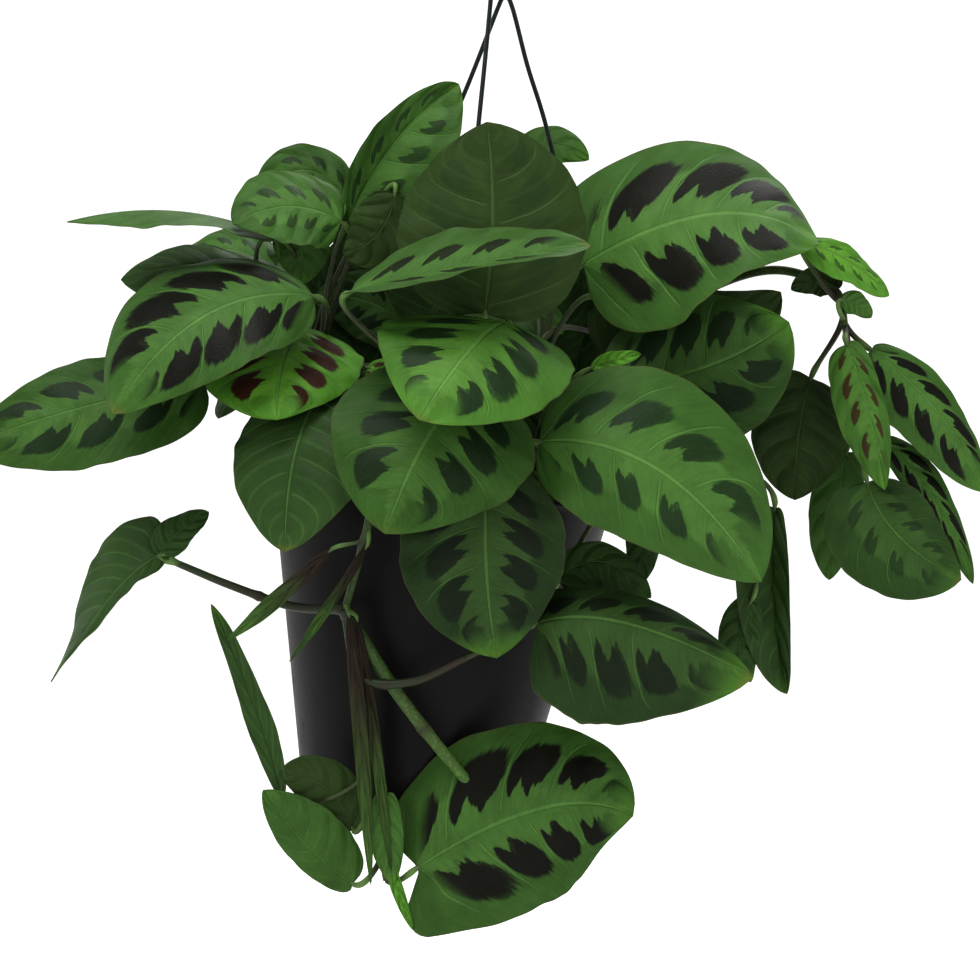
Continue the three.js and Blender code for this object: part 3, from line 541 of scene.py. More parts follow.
hook_reach = HOOK_THROAT_RADIUS + HOOK_WIRE_RADIUS
hook_middle = -HOOK_THROAT_RADIUS
hook_turn = np.radians(np.linspace(HOOK_TIP_DEGREES, 0, 40))
hook_arc = np.stack([hook_reach * np.cos(hook_turn), np.zeros_like(hook_turn),
                     hook_middle + hook_reach * np.sin(hook_turn)], -1)
hook_shank = course([
    hook_arc[-1], [hook_reach * 0.93, 0, hook_middle - 7], [hook_reach * 0.5, 0, hook_middle - 15],
    [2, 0, hook_middle - 21], [0, 0, hook_middle - 25], [0, 0, COLLAR_TOP - 6],
], np.linspace(0, 5, 41))[1:]
hook_line = np.concatenate([hook_arc, hook_shank])
hook_radii = np.full(len(hook_line), HOOK_WIRE_RADIUS)
hook_radii[:len(HOOK_TIP_RADII)] = HOOK_TIP_RADII
collar_line = [
    [0.3, COLLAR_BOTTOM], [4, COLLAR_BOTTOM], [COLLAR_RADIUS - 1.2, COLLAR_BOTTOM],
    *eased((COLLAR_RADIUS - 1.2, COLLAR_BOTTOM + 1.2), 1.2, -75, 0),
    [COLLAR_RADIUS, COLLAR_TOP - 11], [COLLAR_RADIUS - 0.5, COLLAR_TOP - 10.2],
    [COLLAR_RADIUS - 0.5, COLLAR_TOP - 9], [COLLAR_RADIUS, COLLAR_TOP - 8.2],
    [COLLAR_RADIUS, COLLAR_TOP - 6], *eased((COLLAR_RADIUS - 3, COLLAR_TOP - 5), 3, 0, 70),
    [COLLAR_RADIUS * 0.45, COLLAR_TOP - 1], [HOOK_WIRE_RADIUS + 0.6, COLLAR_TOP], [0.3, COLLAR_TOP],
]
collar = closed(turned(collar_line, COLLAR_SIDES), [0, 0, COLLAR_BOTTOM], [0, 0, COLLAR_TOP])
hook_points, hook_quads, hook_corners, _ = gathered([
    rod(hook_line, hook_radii, HOOK_SIDES), (*collar, {})])
hook_finish = Finish("hook_black", Roughness=0.38, Specular_IOR_Level=0.25)
rubbed = hook_finish.grain(210.0, 4.0).ramp(0.58, 0.75)
hook_finish.paint(hook_finish.blend(rubbed * 0.6, HOOK_BLACK, HOOK_EDGE), 0.34 + rubbed * 0.2,
                  hook_finish.grain(1100.0), 0.00008)
hook_piece = piece("hook_and_collar", hook_points * MM, hook_quads, hook_finish.material,
                   corners=hook_corners, sharp=SHARP_DEGREES)
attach(hook_piece, "root")
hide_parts("hanger_hook")


# The wires: three lengths of stiff wire in a dark green coat. Each is held in the collar, bows
# as the picture shows, drops through its hole in the lip, and turns out and up round the edge.
WIRE_RADIUS = 1.15
WIRE_SEAT = 9.0
WIRE_SIDES = 14
WIRE_RUNS = {
    "front": {"from": (-1.5, -5.5), "bow": []},
    "left": {"from": (7, -0.5), "bow": [(2.6, 1, -66), (-15.6, 9, -111)]},
    "right": {"from": (3.8, 5.5),
              "bow": [(8.1, 6.5, -66), (16.2, 10, -96), (25.7, 15, -126), (36.5, 24, -175)]},
}
# A wire's end at the rim: how far out from its hole, and how far up from the lip's underside.
WIRE_END = [(-0.8, 6.4), (0, 1.2), (0.3, -2), (2.2, -4.4), (4.8, -4.4), (6.6, -2), (6.9, 3.4)]
WIRE_GREEN_BLACK = (0.006, 0.011, 0.009, 1.0)
WIRE_LIGHT = (0.016, 0.028, 0.024, 1.0)

wire_finish = Finish("wire_green_black", Roughness=0.4, Specular_IOR_Level=0.2)
wire_wear = wire_finish.grain(160.0, 3.0).ramp(0.5, 0.72)
wire_finish.paint(wire_finish.blend(wire_wear * 0.7, WIRE_GREEN_BLACK, WIRE_LIGHT),
                  0.30 + wire_wear * 0.2, wire_finish.grain(1500.0), 0.00006)
for wire_name, run in WIRE_RUNS.items():
    way = np.array([math.cos(WIRE_ANGLES[wire_name]), math.sin(WIRE_ANGLES[wire_name])])
    at_rim = [[*((WIRE_HOLE_CIRCLE + out) * way), lip_under + up] for out, up in WIRE_END]
    x, y = run["from"]
    places = [[x, y, COLLAR_BOTTOM + WIRE_SEAT], [x, y, COLLAR_BOTTOM - 1.5], *run["bow"],
              *hung(at_rim)]
    line = course(places, np.linspace(0, len(places) - 1, 12 * (len(places) - 1) + 1))
    wire_points, wire_quads, wire_corners, _ = rod(line, WIRE_RADIUS, WIRE_SIDES)
    wire_piece = piece(f"wire_{wire_name}", wire_points * MM, wire_quads, wire_finish.material,
                       corners=wire_corners)
    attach(wire_piece, "root")
    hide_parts(f"hanger_wire_{wire_name}")


# The shoots of the crown: stems rise from the soil and carry leaves on thin round stalks. A
# blade is a soft sheet 0.6 mm thick, light along the midrib and dark blotched between the side
# veins, and its stalk swells at the joint that lets it fold up at night.
BLADE_THICKNESS = 0.6
EDGE_THINNING = 0.6
BLADE_ROWS = 61
BLADE_COLUMNS = 27
BASE_CROWDING = 1.08
MIDRIB_CROWDING = 0.25
GROOVE_DEPTH = 0.35
GROOVE_WIDTH = 1.6
FULL_RIPPLE_HALF_WIDTH = 25
WAVE_HEIGHT = 1.6
WAVES_PER_EDGE = 1.5
RIPPLE_HEIGHT = 0.45
EDGE_SCALLOP = 0.010
# Each wave of the edge: its height, its count to a leaf, and its shifts by seed and by side.
SCALLOP_WAVES = [(1, 3.7, 5, 0.1), (0.5, 8.3, 11, 0)]
RIPPLE_WAVES = [(1, 4.3, 3, 0.2), (0.6, 7.1, 7, -0.3)]
ROOT_RADIUS = 3.0
STEM_TIP_RADIUS = 1.8
ROOT_DEPTH = 13.7
STEM_JOINTS = (0.42, 0.8)
BRANCH_JOINTS = (0.02, 0.5)
STEM_SIDES = 14
STALK_RADIUS = 1.15
STALK_SIDES = 10
STALK_TURN_OUT = 0.7
STALK_SWEEP = 0.3
STALK_INTO_BLADE = 2
JOINT_BELOW_BLADE = 6
JOINT_SWELLING = 0.45
STEM_FLECKED = 0.25
STALK_FLECKED = 0.1
LEAF_RELIEF = 0.00062
BLOTCHES_PER_HALF = 4.7
BLOTCH_CORNER = 2.4
VEINS_BETWEEN = 2.0
VEIN_SWEEP = 0.09
VEIN_CURVE = 0.15
LEFT_HALF_STAGGER = 0.45
# What each look says of a leaf: how light and green it is, partly its age and partly painted
# shade, the colour of its blotches from maroon through black to dark green, how big they are,
# and whether it is a dry sheath. The darkest looks are painted shade, for leaves that lie in shade.
LOOK_MARKS = ("tone_and_shade", "ink", "spots", "sheath")
LOOKS = {
    "new": (0.56, 0.95, 0.55, 0),
    "young": (1.00, 0.05, 0.95, 0),
    "ruddy": (0.62, 0.10, 0.60, 0),
    "fresh": (0.70, 0.95, 0.85, 0),
    "open": (0.55, 0.95, 0.85, 0),
    "broad": (0.40, 1.00, 0.72, 0),
    "turned": (0.50, 0.45, 0.62, 0),
    "grown": (0.50, 0.50, 1.00, 0),
    "old": (0.22, 0.85, 0.90, 0),
    "deep": (0.08, 0.75, 0.90, 0),
    "plain": (0.42, 0.90, 0.00, 0),
    "dim": (0.10, 0.90, 0.00, 0),
    "rolled": (1.00, 0.90, 0.00, 0),
    "spring": (1.00, 0.95, 0.48, 0),
    "faded": (0.20, 0.95, 0.50, 0),
    "sheath": (0.10, 0.50, 0.00, 1),
}
# The deep greens are painted shade, for the leaves that lie in shade; the deep margin green also
# darkens the side veins.
FEATHER_YOUNG = (0.11, 0.27, 0.033, 1.0)
FEATHER_GROWN = (0.06, 0.136, 0.029, 1.0)
FEATHER_DEEP_SHADE = (0.033, 0.068, 0.018, 1.0)
MARGIN_YOUNG = (0.08, 0.215, 0.026, 1.0)
MARGIN_GROWN = (0.041, 0.098, 0.0195, 1.0)
MARGIN_DEEP_SHADE = (0.017, 0.037, 0.0105, 1.0)
BLOTCH_MAROON = (0.0385, 0.0084, 0.0084, 1.0)
BLOTCH_BLACK = (0.0055, 0.004, 0.0037, 1.0)
BLOTCH_GREEN = (0.0125, 0.029, 0.01, 1.0)
MIDRIB_PALE = (0.1088, 0.2304, 0.0576, 1.0)
EDGE_BROWN = (0.06, 0.062, 0.022, 1.0)
# The underside is its own grey-green darkened with painted shade.
UNDERSIDE_SHADED = (0.027, 0.05, 0.0125, 1.0)
UNDERSIDE_VEIN = (0.06, 0.105, 0.036, 1.0)
TIP_DRY = (0.13, 0.14, 0.03, 1.0)
SHEATH_BROWN = (0.022, 0.016, 0.011, 1.0)
STEM_GREEN = (0.019, 0.031, 0.011, 1.0)
STEM_LIT = (0.076, 0.16, 0.028, 1.0)
STEM_FLECK = (0.13, 0.25, 0.06, 1.0)
STALK_OLIVE = (0.04, 0.055, 0.02, 1.0)
STALK_BROWN = (0.03, 0.019, 0.014, 1.0)


def seen(place):
    """A place as the camera sees it, [across, up, depth], moved along the line of sight."""
    across, up, depth = place
    reach = (depth - EYE[1]) / -EYE[1]
    return np.array([EYE[0] + (across - EYE[0]) * reach, depth, EYE[2] + (up - EYE[2]) * reach])


def leaf(look, base, bend, tip, half, face, tip_face=None, fold=0, curl=-6, lobe=4,
         widest=0.42, on=None, at=None, place=seen):
    """One leaf: the base, bend and tip of its midrib as seen, and the way its upper face looks
    at base and tip. Width, fold, curl and lobe of its halves are a number, or left and right.
    It sits on the stem, or on a branch by its number, at a share of the way to its end."""
    ends = {"base": place(base), "bend": place(bend), "tip": place(tip)}
    faces = {"face": np.array(face, float), "tip_face": np.array(tip_face or face, float)}
    form = {"half": half, "fold": np.radians(fold), "curl": np.radians(curl) + 1e-6, "lobe": lobe}
    halves = {label: np.broadcast_to(number, 2) for label, number in form.items()}
    return {"look": look, **ends, **faces, **halves, "widest": widest, "on": on, "at": at}


def unit(vectors):
    """Vectors brought to a length of one."""
    return vectors / np.linalg.norm(vectors, axis=-1, keepdims=True)


def outline(t, widest):
    """The half width along a leaf, 0 to 1: round at the base, drawn to a point at the tip."""
    near = np.minimum(t / widest, 1)
    far = np.maximum((t - widest) / (1 - widest), 0)
    body = (1 - (1 - near) ** 2.4) ** 0.5 * (1 - far ** 2.1) ** 0.72
    return np.maximum(body, 0.036 * (1 - t) + 0.006)


def two_faced(middle, normal, thick):
    """A sheet's grid of points as a closed skin: its upper face and its lower one, each half
    the thickness from the middle along the normal, and the edge that joins them all round."""
    rows, columns = middle.shape[:2]
    count = rows * columns
    i = np.arange(rows - 1)[:, None] * columns
    j = np.arange(columns - 1)[None, :]
    upper = np.stack([i + j, i + j + 1, i + columns + j + 1, i + columns + j], -1).reshape(-1, 4)
    rim = np.concatenate([
        np.arange(columns), np.arange(1, rows) * columns + columns - 1,
        (rows - 1) * columns + np.arange(columns - 2, -1, -1), np.arange(rows - 2, 0, -1) * columns,
    ])
    onward = np.roll(rim, -1)
    edge = np.stack([onward, rim, rim + count, onward + count], -1)
    away = normal * 0.5 * thick
    points = np.concatenate([(middle + away).reshape(-1, 3), (middle - away).reshape(-1, 3)])
    return points, np.concatenate([upper, upper[:, ::-1] + count, edge])


def edge_waves(waves, t, side, seed):
    """The sum of high sin(2 pi (rate t + by_seed seed + by_side side)) over a table of waves."""
    return sum(high * np.sin(2 * np.pi * (rate * t + seed * by_seed + by_side * side))
               for high, rate, by_seed, by_side in waves)


def blade(shape, marks):
    """A leaf's blade. Its midrib is a parabola; each half leaves it at the fold and bends on as
    an arc by the curl, and the edge carries a slow wave, a fine ripple and low scallops."""
    t = (np.linspace(0, 1, BLADE_ROWS) ** BASE_CROWDING)[:, None]
    v = np.linspace(-1, 1, BLADE_COLUMNS)[None, :]
    u = np.sign(v) * ((1 - MIDRIB_CROWDING) * np.abs(v) + MIDRIB_CROWDING * v ** 2)
    t3 = t[..., None]
    midrib = (shape["base"] * (1 - t3) ** 2 + shape["bend"] * 2 * t3 * (1 - t3)
              + shape["tip"] * t3 ** 2)
    along = unit((shape["bend"] - shape["base"]) * (1 - t3) + (shape["tip"] - shape["bend"]) * t3)
    up = shape["face"] * (1 - t3) + shape["tip_face"] * t3
    up = unit(up - along * (up * along).sum(-1, keepdims=True))
    across = np.cross(along, up)
    right = u > 0
    half, fold, curl, lobe = (np.where(right, shape[key][1], shape[key][0])
                              for key in ("half", "fold", "curl", "lobe"))
    reach = np.abs(u)
    sign = np.sign(u)
    body = outline(t, shape["widest"])
    scallop = reach ** 6 * edge_waves(SCALLOP_WAVES, t, sign, marks["seed"])
    width = half * body * (1 + EDGE_SCALLOP * scallop)
    lean = fold + curl * reach
    out = width * (np.sin(lean) - np.sin(fold)) / curl
    wave = WAVE_HEIGHT * body * reach ** 2 * np.sin(2 * np.pi * (WAVES_PER_EDGE * t + 0.3 * u))
    small = np.minimum(1, max(shape["half"]) / FULL_RIPPLE_HALF_WIDTH)
    ripple = RIPPLE_HEIGHT * small * body * reach ** 4 * edge_waves(
        RIPPLE_WAVES, t, sign, marks["seed"])
    groove = -GROOVE_DEPTH * small * body * np.exp(-(reach * half / GROOVE_WIDTH) ** 2)
    rise = width * (np.cos(fold) - np.cos(lean)) / curl + wave + ripple + groove
    back = lobe * reach ** 2 * (1 - t) ** 6 * np.sqrt(np.minimum(1, t / 0.08))
    middle = (midrib + across * (sign * out)[..., None] + up * rise[..., None]
              - along * back[..., None])
    normal = up * np.cos(lean)[..., None] - across * (sign * np.sin(lean))[..., None]
    thick = BLADE_THICKNESS * (1 - EDGE_THINNING * reach ** 8) + 0 * t
    points, quads = two_faced(middle, normal, thick[..., None])
    carried = {
        "along": np.tile((t + 0 * u).ravel(), 2),
        "across": np.tile((u + 0 * t).ravel(), 2),
        "upper": np.repeat([1.0, 0.0], len(points) // 2),
    }
    for label, number in marks.items():
        carried[label] = np.full(len(points), number)
    return points, quads, np.zeros((0, 3), int), carried


def stalk(shape, start, way, marks):
    """A leaf's stalk: a cubic from the stem to the blade's base, swollen at the joint below it."""
    leaving = unit(way + STALK_TURN_OUT * unit(shape["base"] - start))
    arriving = unit(shape["bend"] - shape["base"])
    span = np.linalg.norm(shape["base"] - start)
    s = np.linspace(0, 1, 28)[:, None]
    first = start + leaving * STALK_SWEEP * span
    last = shape["base"] - arriving * STALK_SWEEP * span
    line = (start * (1 - s) ** 3 + first * 3 * s * (1 - s) ** 2 + last * 3 * s ** 2 * (1 - s)
            + shape["base"] * s ** 3)
    line[-1] = shape["base"] + arriving * STALK_INTO_BLADE
    to_blade = np.linalg.norm(line - line[-1], axis=1)
    thin = min(1.0, 0.6 + max(shape["half"]) / 60)
    swelling = JOINT_SWELLING * np.exp(-((to_blade - JOINT_BELOW_BLADE) / 4) ** 2)
    radii = thin * (STALK_RADIUS * (1.45 - 0.45 * s[:, 0]) + swelling)
    radii[-1] = 0.55 * thin
    joint = np.exp(-((to_blade - JOINT_BELOW_BLADE) / 5) ** 2)
    return rod(line, radii, STALK_SIDES, {"stalk": 1.0, "joint": joint, **marks})


def stem(line, first, last, joints, marks):
    """A round stem along a line, tapered, with a raised ring at each joint."""
    s = np.linspace(0, 1, len(line))
    joint = sum(np.exp(-((s - at) / 0.02) ** 2) for at in joints)
    radii = first + (last - first) * s + 0.55 * joint
    return rod(line, radii, STEM_SIDES, {"stalk": 0.0, "joint": joint, **marks})


leaf_finish = Finish("prayer_plant_leaf", Roughness=0.5, Specular_IOR_Level=0.11)
t, u, upper_face, seed = (leaf_finish.value(name) for name in ("along", "across", "upper", "seed"))
tone_and_shade, ink, spots, sheath = (leaf_finish.value(name) for name in LOOK_MARKS)
s = abs(u)
# A main side vein runs forward as it goes out, so each is a line where swept is the same. Count
# numbers the spaces between them, and step runs from 0 at one main vein to 1 at the next.
swept = t - s * VEIN_SWEEP - s * s * VEIN_CURVE
coarse = leaf_finish.grain(60.0, 1.0) - 0.5
fine = leaf_finish.grain(420.0, 2.0, rough=0.65) - 0.5
left_side = u.ramp(0.001, -0.001)
count = swept * BLOTCHES_PER_HALF + left_side * LEFT_HALF_STAGGER + seed * 0.7 + coarse * 0.10
step = count.math("FRACT")
own_number = count.math("FLOOR") + left_side * 31 + seed * 97
own = leaf_finish.node("ShaderNodeTexWhiteNoise", {"noise_dimensions": "1D"}, {"W": own_number})
lengthwise = leaf_finish.node("ShaderNodeCombineXYZ", None,
                              {0: count * 15, 1: s * 4, 2: seed * 50})
streak = leaf_finish.grain(1.0, 2.0, at=lengthwise) - 0.5
# Each space holds one blotch, round cornered, its base side along the vein. It is forked at
# its inner end by two light spikes, widens outwards, and frays into the margin.
size = spots * (0.78 + own * 0.22)
half_step = (0.09 + size * 0.37) * (0.82 + s.ramp(0.22, 0.50) * 0.20)
sideways = (step - half_step - 0.035) / half_step
outwards = (s - 0.29 - size * 0.165) / (0.09 + size * 0.225)
spread = abs(sideways) ** BLOTCH_CORNER + abs(outwards) ** BLOTCH_CORNER + streak * 0.85
long_spike = 0.33 + own * 0.08 - s - abs(step - 0.24 - own * 0.14) * 0.9
short_spike = 0.34 - own * 0.07 - s - abs(step - 0.68 + own * 0.12) * 1.2
spike = (long_spike.math("MAXIMUM", short_spike) + streak * 0.16).ramp(0.0, 0.035)
ends = swept.ramp(-0.02, 0.04) * swept.ramp(0.82, 0.74)
marked = spots.ramp(0.0, 0.2)
softness = outwards.ramp(0.0, 1.0) * -0.28 - 0.08
blotch = (1 - spread).ramp(softness, 0.16) * (1 - spike) * ends * marked
feather = (0.16 + ends * (0.24 + size * 0.20) + streak * 0.16 - s).ramp(-0.05, 0.07)
main_vein = (0.5 - abs(step - 0.5)).ramp(0.035, 0.012) * s.ramp(0.05, 0.15) * s.ramp(0.92, 0.70)
main_vein = main_vein * swept.ramp(0.80, 0.66)
vein_wave = (count * (2 * math.pi * VEINS_BETWEEN)).math("COSINE")
pillow = (count * (2 * math.pi)).math("COSINE")
vein = vein_wave.ramp(0.6, 1.0) * s.ramp(0.03, 0.10)
midrib = s.ramp(0.034, 0.012)
edge = s.ramp(0.972, 0.995)
dry = t.ramp(0.955, 0.995) * (seed * 9.0).math("FRACT").ramp(0.35, 0.9)
patchy = 1 + coarse * 0.60 + fine * 0.24 + streak * 0.42 + (seed * 5.0).math("FRACT") * 0.36 - 0.18

# The first look mark paints shade: low on it the greens go to the deep painted-shade colours, high
# on it to a young leaf's own yellow-green.
young = tone_and_shade.ramp(0.5, 1.0)
lit_and_grown = tone_and_shade.ramp(0.0, 0.5)
feather_green = leaf_finish.coats(FEATHER_DEEP_SHADE, (lit_and_grown, FEATHER_GROWN), (young, FEATHER_YOUNG))
margin_green = leaf_finish.coats(MARGIN_DEEP_SHADE, (lit_and_grown, MARGIN_GROWN), (young, MARGIN_YOUNG))
blotch_ink = leaf_finish.coats(
    BLOTCH_MAROON, (ink.ramp(0.0, 0.5), BLOTCH_BLACK), (ink.ramp(0.55, 1.0), BLOTCH_GREEN))
face_colour = leaf_finish.coats(
    margin_green,
    (feather * 0.90 * marked + (1 - marked) * 0.45, feather_green),
    (vein * marked * 0.08, MARGIN_DEEP_SHADE),
    (vein * (1 - marked) * 0.10, MIDRIB_PALE),
    (t.ramp(0.84, 1.0) * (seed * 13.0).math("FRACT") * 0.5, FEATHER_YOUNG),
    (blotch * (spots.ramp(0.3, 0.8) * 0.33 + 0.64), blotch_ink),
    (main_vein * (tone_and_shade * 0.42 + 0.18), MIDRIB_PALE),
    (midrib * (tone_and_shade * 0.45 + 0.28), MIDRIB_PALE),
    (edge * 0.5, EDGE_BROWN))
under_colour = leaf_finish.coats(
    UNDERSIDE_SHADED,
    (blotch * 0.35, BLOTCH_GREEN),
    (tone_and_shade.ramp(0.3, 1.0) * 0.45, FEATHER_GROWN),
    (main_vein * 0.45 + midrib * 0.5 + vein * 0.12, UNDERSIDE_VEIN))
sheath_colour = leaf_finish.blend(t.ramp(0.2, 0.9) * (0.5 + own * 0.5), SHEATH_BROWN, FEATHER_GROWN)
leaf_colour = leaf_finish.coats(
    under_colour,
    (upper_face.ramp(0.35, 0.65), face_colour),
    (dry * (upper_face * 0.45 + 0.10), TIP_DRY),
    (sheath, sheath_colour))
leaf_colour = leaf_finish.shaded(leaf_colour, patchy)
leaf_roughness = 0.50 + fine * 0.12 + (1 - upper_face) * 0.12 + sheath * 0.1 - blotch * 0.04
quilting = (vein_wave * -0.10 - pillow * 0.60) * s.ramp(0.02, 0.15) * s.ramp(1.0, 0.85)
leaf_relief = quilting - midrib * 0.9 - main_vein * 0.7 + leaf_finish.grain(900.0, 1.0) * 0.30
leaf_finish.paint(leaf_colour, leaf_roughness, leaf_relief, LEAF_RELIEF)

stem_finish = Finish("stem_and_stalk", Roughness=0.5, Specular_IOR_Level=0.25)
is_stalk = stem_finish.value("stalk")
joint = stem_finish.value("joint")
flecked = stem_finish.value("fleck")
fleck = stem_finish.grain(620.0, 3.0).ramp(0.50, 0.60) * flecked
blush = stem_finish.grain(45.0, 2.0).ramp(0.42, 0.68)
stalk_colour = stem_finish.coats(STALK_OLIVE, (blush * 0.8, STALK_BROWN), (joint * 0.6, STEM_FLECK))
stem_colour = stem_finish.coats(
    STEM_GREEN,
    (blush * 0.8, STALK_BROWN),
    (flecked * 0.85, STEM_LIT),
    (fleck * 0.6, STEM_FLECK),
    (joint * 0.8, STALK_BROWN),
    (is_stalk, stalk_colour))
stem_colour = stem_finish.shaded(stem_colour, 0.8 + stem_finish.value("tone") * 0.4)
stem_relief = stem_finish.grain(700.0, 3.0) + fleck * 0.3
stem_finish.paint(stem_colour, 0.42 + fleck * 0.14, stem_relief, 0.0002)

leaf_draw = np.random.default_rng(11)


def grow(name, root, stem_places, leaves, branches=()):
    """One shoot: its stem from the soil, its branches, and its leaves on their stalks. A branch
    is its two radii, how light its end is, and its places. The blades are one piece and the
    stems and stalks another, and both stand for its solid."""
    foot = hung([*root, soil_level - ROOT_DEPTH])
    places = [hung([*root, soil_level + 2 * SOIL_DOME]), *stem_places]
    last = len(places) - 1
    line = np.concatenate([[foot], course(places, np.linspace(0, last, 20 * last + 1))])
    marks = {"tone": leaf_draw.uniform(), "fleck": STEM_FLECKED}
    wood = [stem(line, ROOT_RADIUS, STEM_TIP_RADIUS, STEM_JOINTS, marks)]
    runs = [[places[-1], *way] for _, _, way in branches]
    for run, (thick, flecked, _) in zip(runs, branches):
        line = course(run, np.linspace(0, len(run) - 1, 16 * (len(run) - 1) + 1))
        marks = {"tone": leaf_draw.uniform(), "fleck": flecked * np.linspace(0.1, 1, len(line))}
        wood.append(stem(line, *thick, BRANCH_JOINTS, marks))
    blades = []
    for i, shape in enumerate(leaves):
        at = 0.5 + 0.5 * (i + 1) / len(leaves) if shape["at"] is None else shape["at"]
        if shape["on"] is None:
            run = places
            k = max(at * (2 * last + 1) - 1, 0) / 2
        else:
            run = runs[shape["on"]]
            k = at * (len(run) - 1)
        before, start, beyond = course(run, [k - 0.1, k, k + 0.1])
        marks = dict(zip(LOOK_MARKS, LOOKS[shape["look"]]), seed=leaf_draw.uniform())
        blades.append(blade(shape, marks))
        marks = {"tone": leaf_draw.uniform(), "fleck": STALK_FLECKED}
        wood.append(stalk(shape, start, unit(beyond - before), marks))
    kinds = (("blades", blades, leaf_finish, 50), ("stems", wood, stem_finish, 60))
    for kind, parts, finish, sharp in kinds:
        points, quads, corners, values = gathered(parts)
        made = piece(f"{name}_{kind}", points * MM, quads, finish.material, corners, values, sharp)
        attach(made, "root")
        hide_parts(f"shoot_{name}")


def shoot(name, root, stem_places, leaves, branches=()):
    """A shoot whose stem and branches are given as the camera sees them."""
    grow(name, root, [seen(place) for place in stem_places], leaves,
         [(thick, flecked, [seen(place) for place in way]) for thick, flecked, way in branches])


shoot("crown_left", (-40, 4), [(-86, -262, 2), (-89, -230, 0)], [
    leaf("new", (-74, -176, -15), (-51, -126, -20), (-18, -107, -12), (13, 32), (0, -0.9, 0.3),
         fold=(40, 5), curl=(0, 5)),
    leaf("new", (-75, -165, 5), (-97, -132, 12), (-122, -171, 5), (24, 15), (0, -0.9, 0.4),
         tip_face=(-0.3, -0.9, 0.2), curl=-10),
    leaf("new", (-77, -176, -25), (-102, -160, -35), (-131, -177, -45), (26, 27), (0, -0.75, 0.6)),
    leaf("dim", (-50, -162, -24), (-55, -187, -28), (-76, -192, -30), 16, (0, 1, 0.2), curl=5),
])
shoot("crown_right", (28, -8), [(16, -270, -12), (24, -235, -18)], [
    leaf("grown", (44, -197, -25), (120, -151, -70), (162, -187, -60), (56, 57), (-0.1, -0.9, 0.4),
         tip_face=(0.2, -0.4, 0.9), fold=(2, -4), curl=-10, lobe=(50, 12), widest=0.36),
    leaf("faded", (52, -215, -15), (97, -255, -20), (143, -211, -25), 26, (0, 1, 0.3)),
    leaf("plain", (16, -172, 30), (17, -121, 36), (47, -145, 34), (13, 14), (0, -0.9, 0.3)),
    leaf("grown", (70, -232, 30), (110, -215, 50), (140, -262, 50), 30, (0.5, 0.3, 0.8)),
])
shoot("crown_top", (10, -22), [(-4, -275, -44), (-6, -243, -58)], [
    leaf("old", (-5, -222, -68), (2, -172, -66), (-4, -126, -60), 46, (0, 1, 0.3), fold=5, curl=8,
         lobe=8),
])
# The inner shoot's plain dark leaves are painted shade in the crown's shaded gaps.
shoot("inner", (-14, 16), [(-34, -275, 14), (-32, -250, 10)], [
    leaf("old", (-36, -236, 12), (-62, -206, 14), (-90, -216, 12), (20, 16), (0, -1, 0.2)),
    leaf("dim", (-24, -234, 2), (5, -208, 4), (34, -232, -2), (22, 20), (0, -0.75, 0.6)),
    leaf("dim", (-30, -226, 4), (-34, -190, 6), (-40, -168, 4), 24, (0, -0.95, 0.2)),
    leaf("dim", (14, -262, 12), (32, -232, 10), (38, -194, 8), (18, 16), (0, -1, 0.2)),
    leaf("dim", (-70, -245, 22), (-84, -225, 24), (-88, -190, 22), 14, (0, -1, 0.2)),
    leaf("dim", (-58, -234, 18), (-66, -222, 20), (-76, -200, 18), 12, (0, -1, 0.2)),
    leaf("dim", (-66, -252, 24), (-78, -246, 26), (-93, -234, 24), 9, (0, -1, 0.2)),
    leaf("dim", (38, -266, 21), (44, -230, 21), (48, -180, 20), 13, (0, -1, 0.2)),
    leaf("dim", (-62, -258, 20), (-76, -222, 21), (-80, -186, 20), 15, (0, -1, 0.2)),
    leaf("dim", (-58, -226, 16), (-68, -197, 18), (-77, -161, 18), 12, (0, -1, 0.2)),
    leaf("dim", (25, -300, -30), (24, -280, -32), (21, -256, -32), 9, (0, -1, 0.2)),
])


# The shoots at the sides lie lower and flatter. The light comes from above, so their blades
# turn their upper faces up and out, and the longest ones on the left reach past the picture.
shoot("side_left", (-58, 18), [(-100, -270, 20), (-106, -235, 12)], [
    leaf("plain", (-110, -183, -20), (-160, -161, -35), (-214, -176, -40), 24, (0, -0.2, 1),
         fold=-12, curl=0, widest=0.5),
    leaf("dim", (-103, -207, -10), (-147, -190, -5), (-187, -205, 0), (27, 17), (0, -0.6, 0.8),
         tip_face=(-0.4, -0.8, 0.4), curl=(-12, -20)),
    leaf("new", (-106, -204, 10), (-130, -181, 20), (-158, -194, 25), (20, 18), (0, -0.6, 0.7)),
    leaf("plain", (-111, -182, -14), (-92, -178, -14), (-98, -208, -14), 16, (0, -1, 0.2)),
    leaf("grown", (-108, -216, 40), (-148, -206, 60), (-180, -236, 55), 22, (-0.2, -0.1, 1)),
    leaf("old", (-101, -282, 33), (-122, -288, 46), (-102, -334, 54), 22, (-0.8, 0.5, 0.2),
         curl=-12),
])
shoot("low_left", (-58, -14), [(-92, -275, -10), (-95, -232, -8)], [
    leaf("grown", (-91, -213, -55), (-150, -204, -85), (-191, -272, -90), (34, 52),
         (-0.1, -0.8, 0.6), tip_face=(-0.3, -0.9, 0.2), fold=(0, -10), curl=(-10, -25)),
    leaf("open", (-145, -256, -30), (-199, -263, -45), (-266, -288, -40), (33, 27), (0, -0.85, 0.5),
         tip_face=(0, -0.9, 0.4), curl=-10),
    leaf("young", (-94, -229, -30), (-110, -237, -62), (-109, -275, -84), (38, 44),
         (-0.1, -0.5, 0.85), tip_face=(0, -0.9, 0.4), fold=-5, curl=(-15, -10), lobe=5),
])
